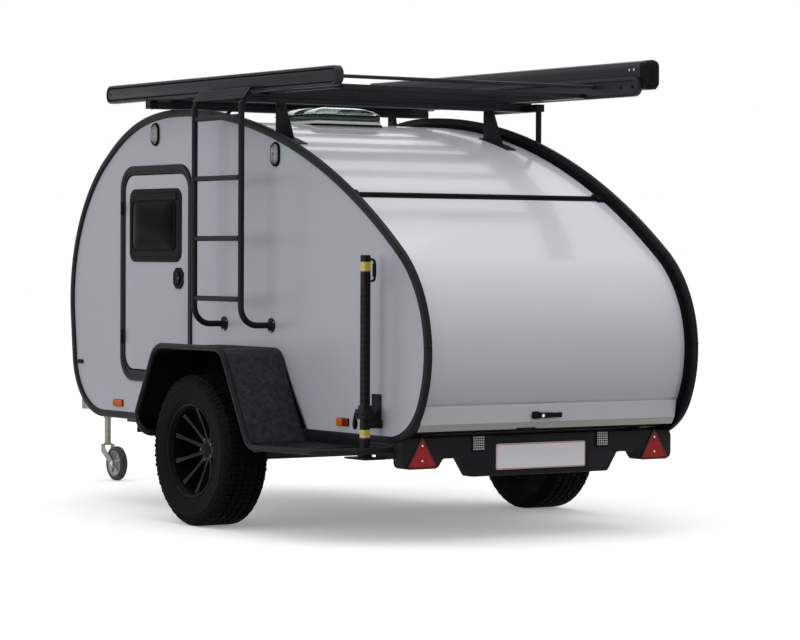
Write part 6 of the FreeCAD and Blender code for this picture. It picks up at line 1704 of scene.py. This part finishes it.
def castorWheel():
    # A solid tyre with a rounded tread on a dished hub with five ribs.
    low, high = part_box("jockey_wheel")
    centre = ((low.x + high.x) / 2, 0, (low.z + high.z) / 2)
    body = nodes["jockey_wheel"]["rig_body"]
    tyre = [(0.074, -0.0205), (0.08, -0.024), (0.09, -0.0225), (0.0972, -0.017), (0.0997, -0.009),
        (0.1, 0.0), (0.0997, 0.009), (0.0972, 0.017), (0.09, 0.0225), (0.08, 0.024), (0.074, 0.0205),
        (0.07, 0.01), (0.07, -0.01)]
    addPiece("castor_tyre", revolved(tyre, centre, "y", 72), "castorRubber", sharp=45,
        replaces=("jockey_wheel",), body=body)
    hub = doubled([(0.0085, -0.024), (0.022, -0.024), (0.024, -0.02), (0.027, -0.01), (0.06, -0.0085),
        (0.066, -0.012), (0.07, -0.0195), (0.0748, -0.02)], 1)
    shapes = [revolved(hub, centre, "y", 60)]
    rib = loft([[(-0.0025, y, r), (0.0025, y, r), (0.0025, y + w, r), (-0.0025, y + w, r)]
        for r, y, w in ((0.022, -0.0215, 0.043), (0.064, -0.015, 0.03))])
    points, faces = spun(rib, 5)
    shapes.append((points + centre, faces))
    addPiece("castor_hub", joined(*shapes), "castorHub", sharp=35, body=body)
    carrier = nodes["jockey_fork"]["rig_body"]
    nuts = [bolt((centre[0], way * 0.0325, centre[2]), "y", 0.01, 0.0065, way) for way in (1, -1)]
    addPiece("castor_nuts", joined(*nuts), "screw", body=carrier)
    # Two narrow cheeks run up from the pin to a plate under the leg's collar.
    stem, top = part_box("jockey_leg"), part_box("jockey_fork")[1].z
    stem = (stem[0].x + stem[1].x) / 2
    cheek = roundedPath([(centre[0] - 0.014, centre[2] - 0.014), (centre[0] + 0.012, centre[2] - 0.016),
        (stem + 0.022, top - 0.052), (stem + 0.022, top - 0.008), (stem - 0.022, top - 0.008),
        (stem - 0.024, top - 0.03), (centre[0] - 0.018, centre[2] + 0.006)],
        (0.012, 0.012, 0.012, 0.004, 0.004, 0.012, 0.012), closed=True, turnStep=0.35)
    shapes = [stacked(onSide, cheek, y, (0, 0), (0, 0.0035)) for y in (0.029, -0.0325)]
    plate = rectangle(stem - 0.022, -0.0325, stem + 0.022, 0.0325, 0.005, 3)
    shapes.append(stacked(onTop, plate, top, (0, -0.012), (0, -0.007), (0.0012, -0.006)))
    shapes.append(revolved([(0, top - 0.008), (0.023, top - 0.008), (0.023, top - 0.002), (0.0215, top),
        (0, top)], (stem, 0, 0), "z", 32, False))
    addPiece("castor_fork", joined(*shapes), "zinc", 0.0008, replaces=("jockey_fork",),
        body=carrier)


def hatchHandle():
    # A black base plate, a lock barrel at its left end and a tapered lever out over the plate.
    low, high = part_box("hatch_handle")
    crease = lineAt(creaseArc, drop)
    along = unit(np.array(hatch["sill"]))
    out = np.array([along[1], -along[0]])
    middle = crease + along * (crease[1] - 0.583) / -along[1]

    def placed(loop, lift):
        # Loop points are (across, up the skin) about the handle's middle.
        base = middle + out * lift
        spot = base[None] - along[None] * loop[:, 1:]
        return np.column_stack([spot[:, 0], loop[:, 0], spot[:, 1]])

    left, right = high.y, low.y
    base = rectangle(left - 0.04, -0.0165, left, 0.0165, 0.005, 4)
    shape = loft([placed(base, 0.0), placed(base, 0.013), placed(inset(base, 0.002), 0.0155)])
    spine = doubled([(left - 0.03, 0.012), (left - 0.06, 0.0135), (right + 0.03, 0.0105),
        (right + 0.004, 0.0125), (right, 0.008)], 1)
    spine = roundedPath(anticlockwise(spine), 0.003, closed=True, turnStep=0.5)
    lever = loft([placed(spine, 0.0095), placed(spine, 0.0175), placed(inset(spine, 0.0025), 0.0205)])
    foot = loft([placed(rectangle(right + 0.006, -0.008, right + 0.03, 0.008, 0.003, 3), lift)
        for lift in (0.0, 0.011)])
    addPiece("hatch_handle_body", joined(shape, lever, foot), "moulded", 0.0008,
        replaces=("hatch_handle",), body="hatch")
    ring = ellipse(left - 0.052, 0.0, 0.0085, 0.0085, 28)
    lock = loft([placed(ring, 0.019), placed(ring, 0.0222), placed(inset(ring, 0.0015), 0.0232)])
    addPiece("hatch_lock", lock, "screw", body="hatch")


chassisFinish()
couplingFittings()
castorWheel()
hatchHandle()
print("running gear made")


# The panels left as the CAD made them take their finish here.

kept = {"side_panel_left": "side", "side_panel_right": "side", "floor_panel": "board",
    "galley_bulkhead": "wall", "brake_drum_left": "cast", "brake_drum_right": "cast"}
for name, finish in kept.items():
    nodes[name].data.materials.clear()
    nodes[name].data.materials.append(paint[finish])
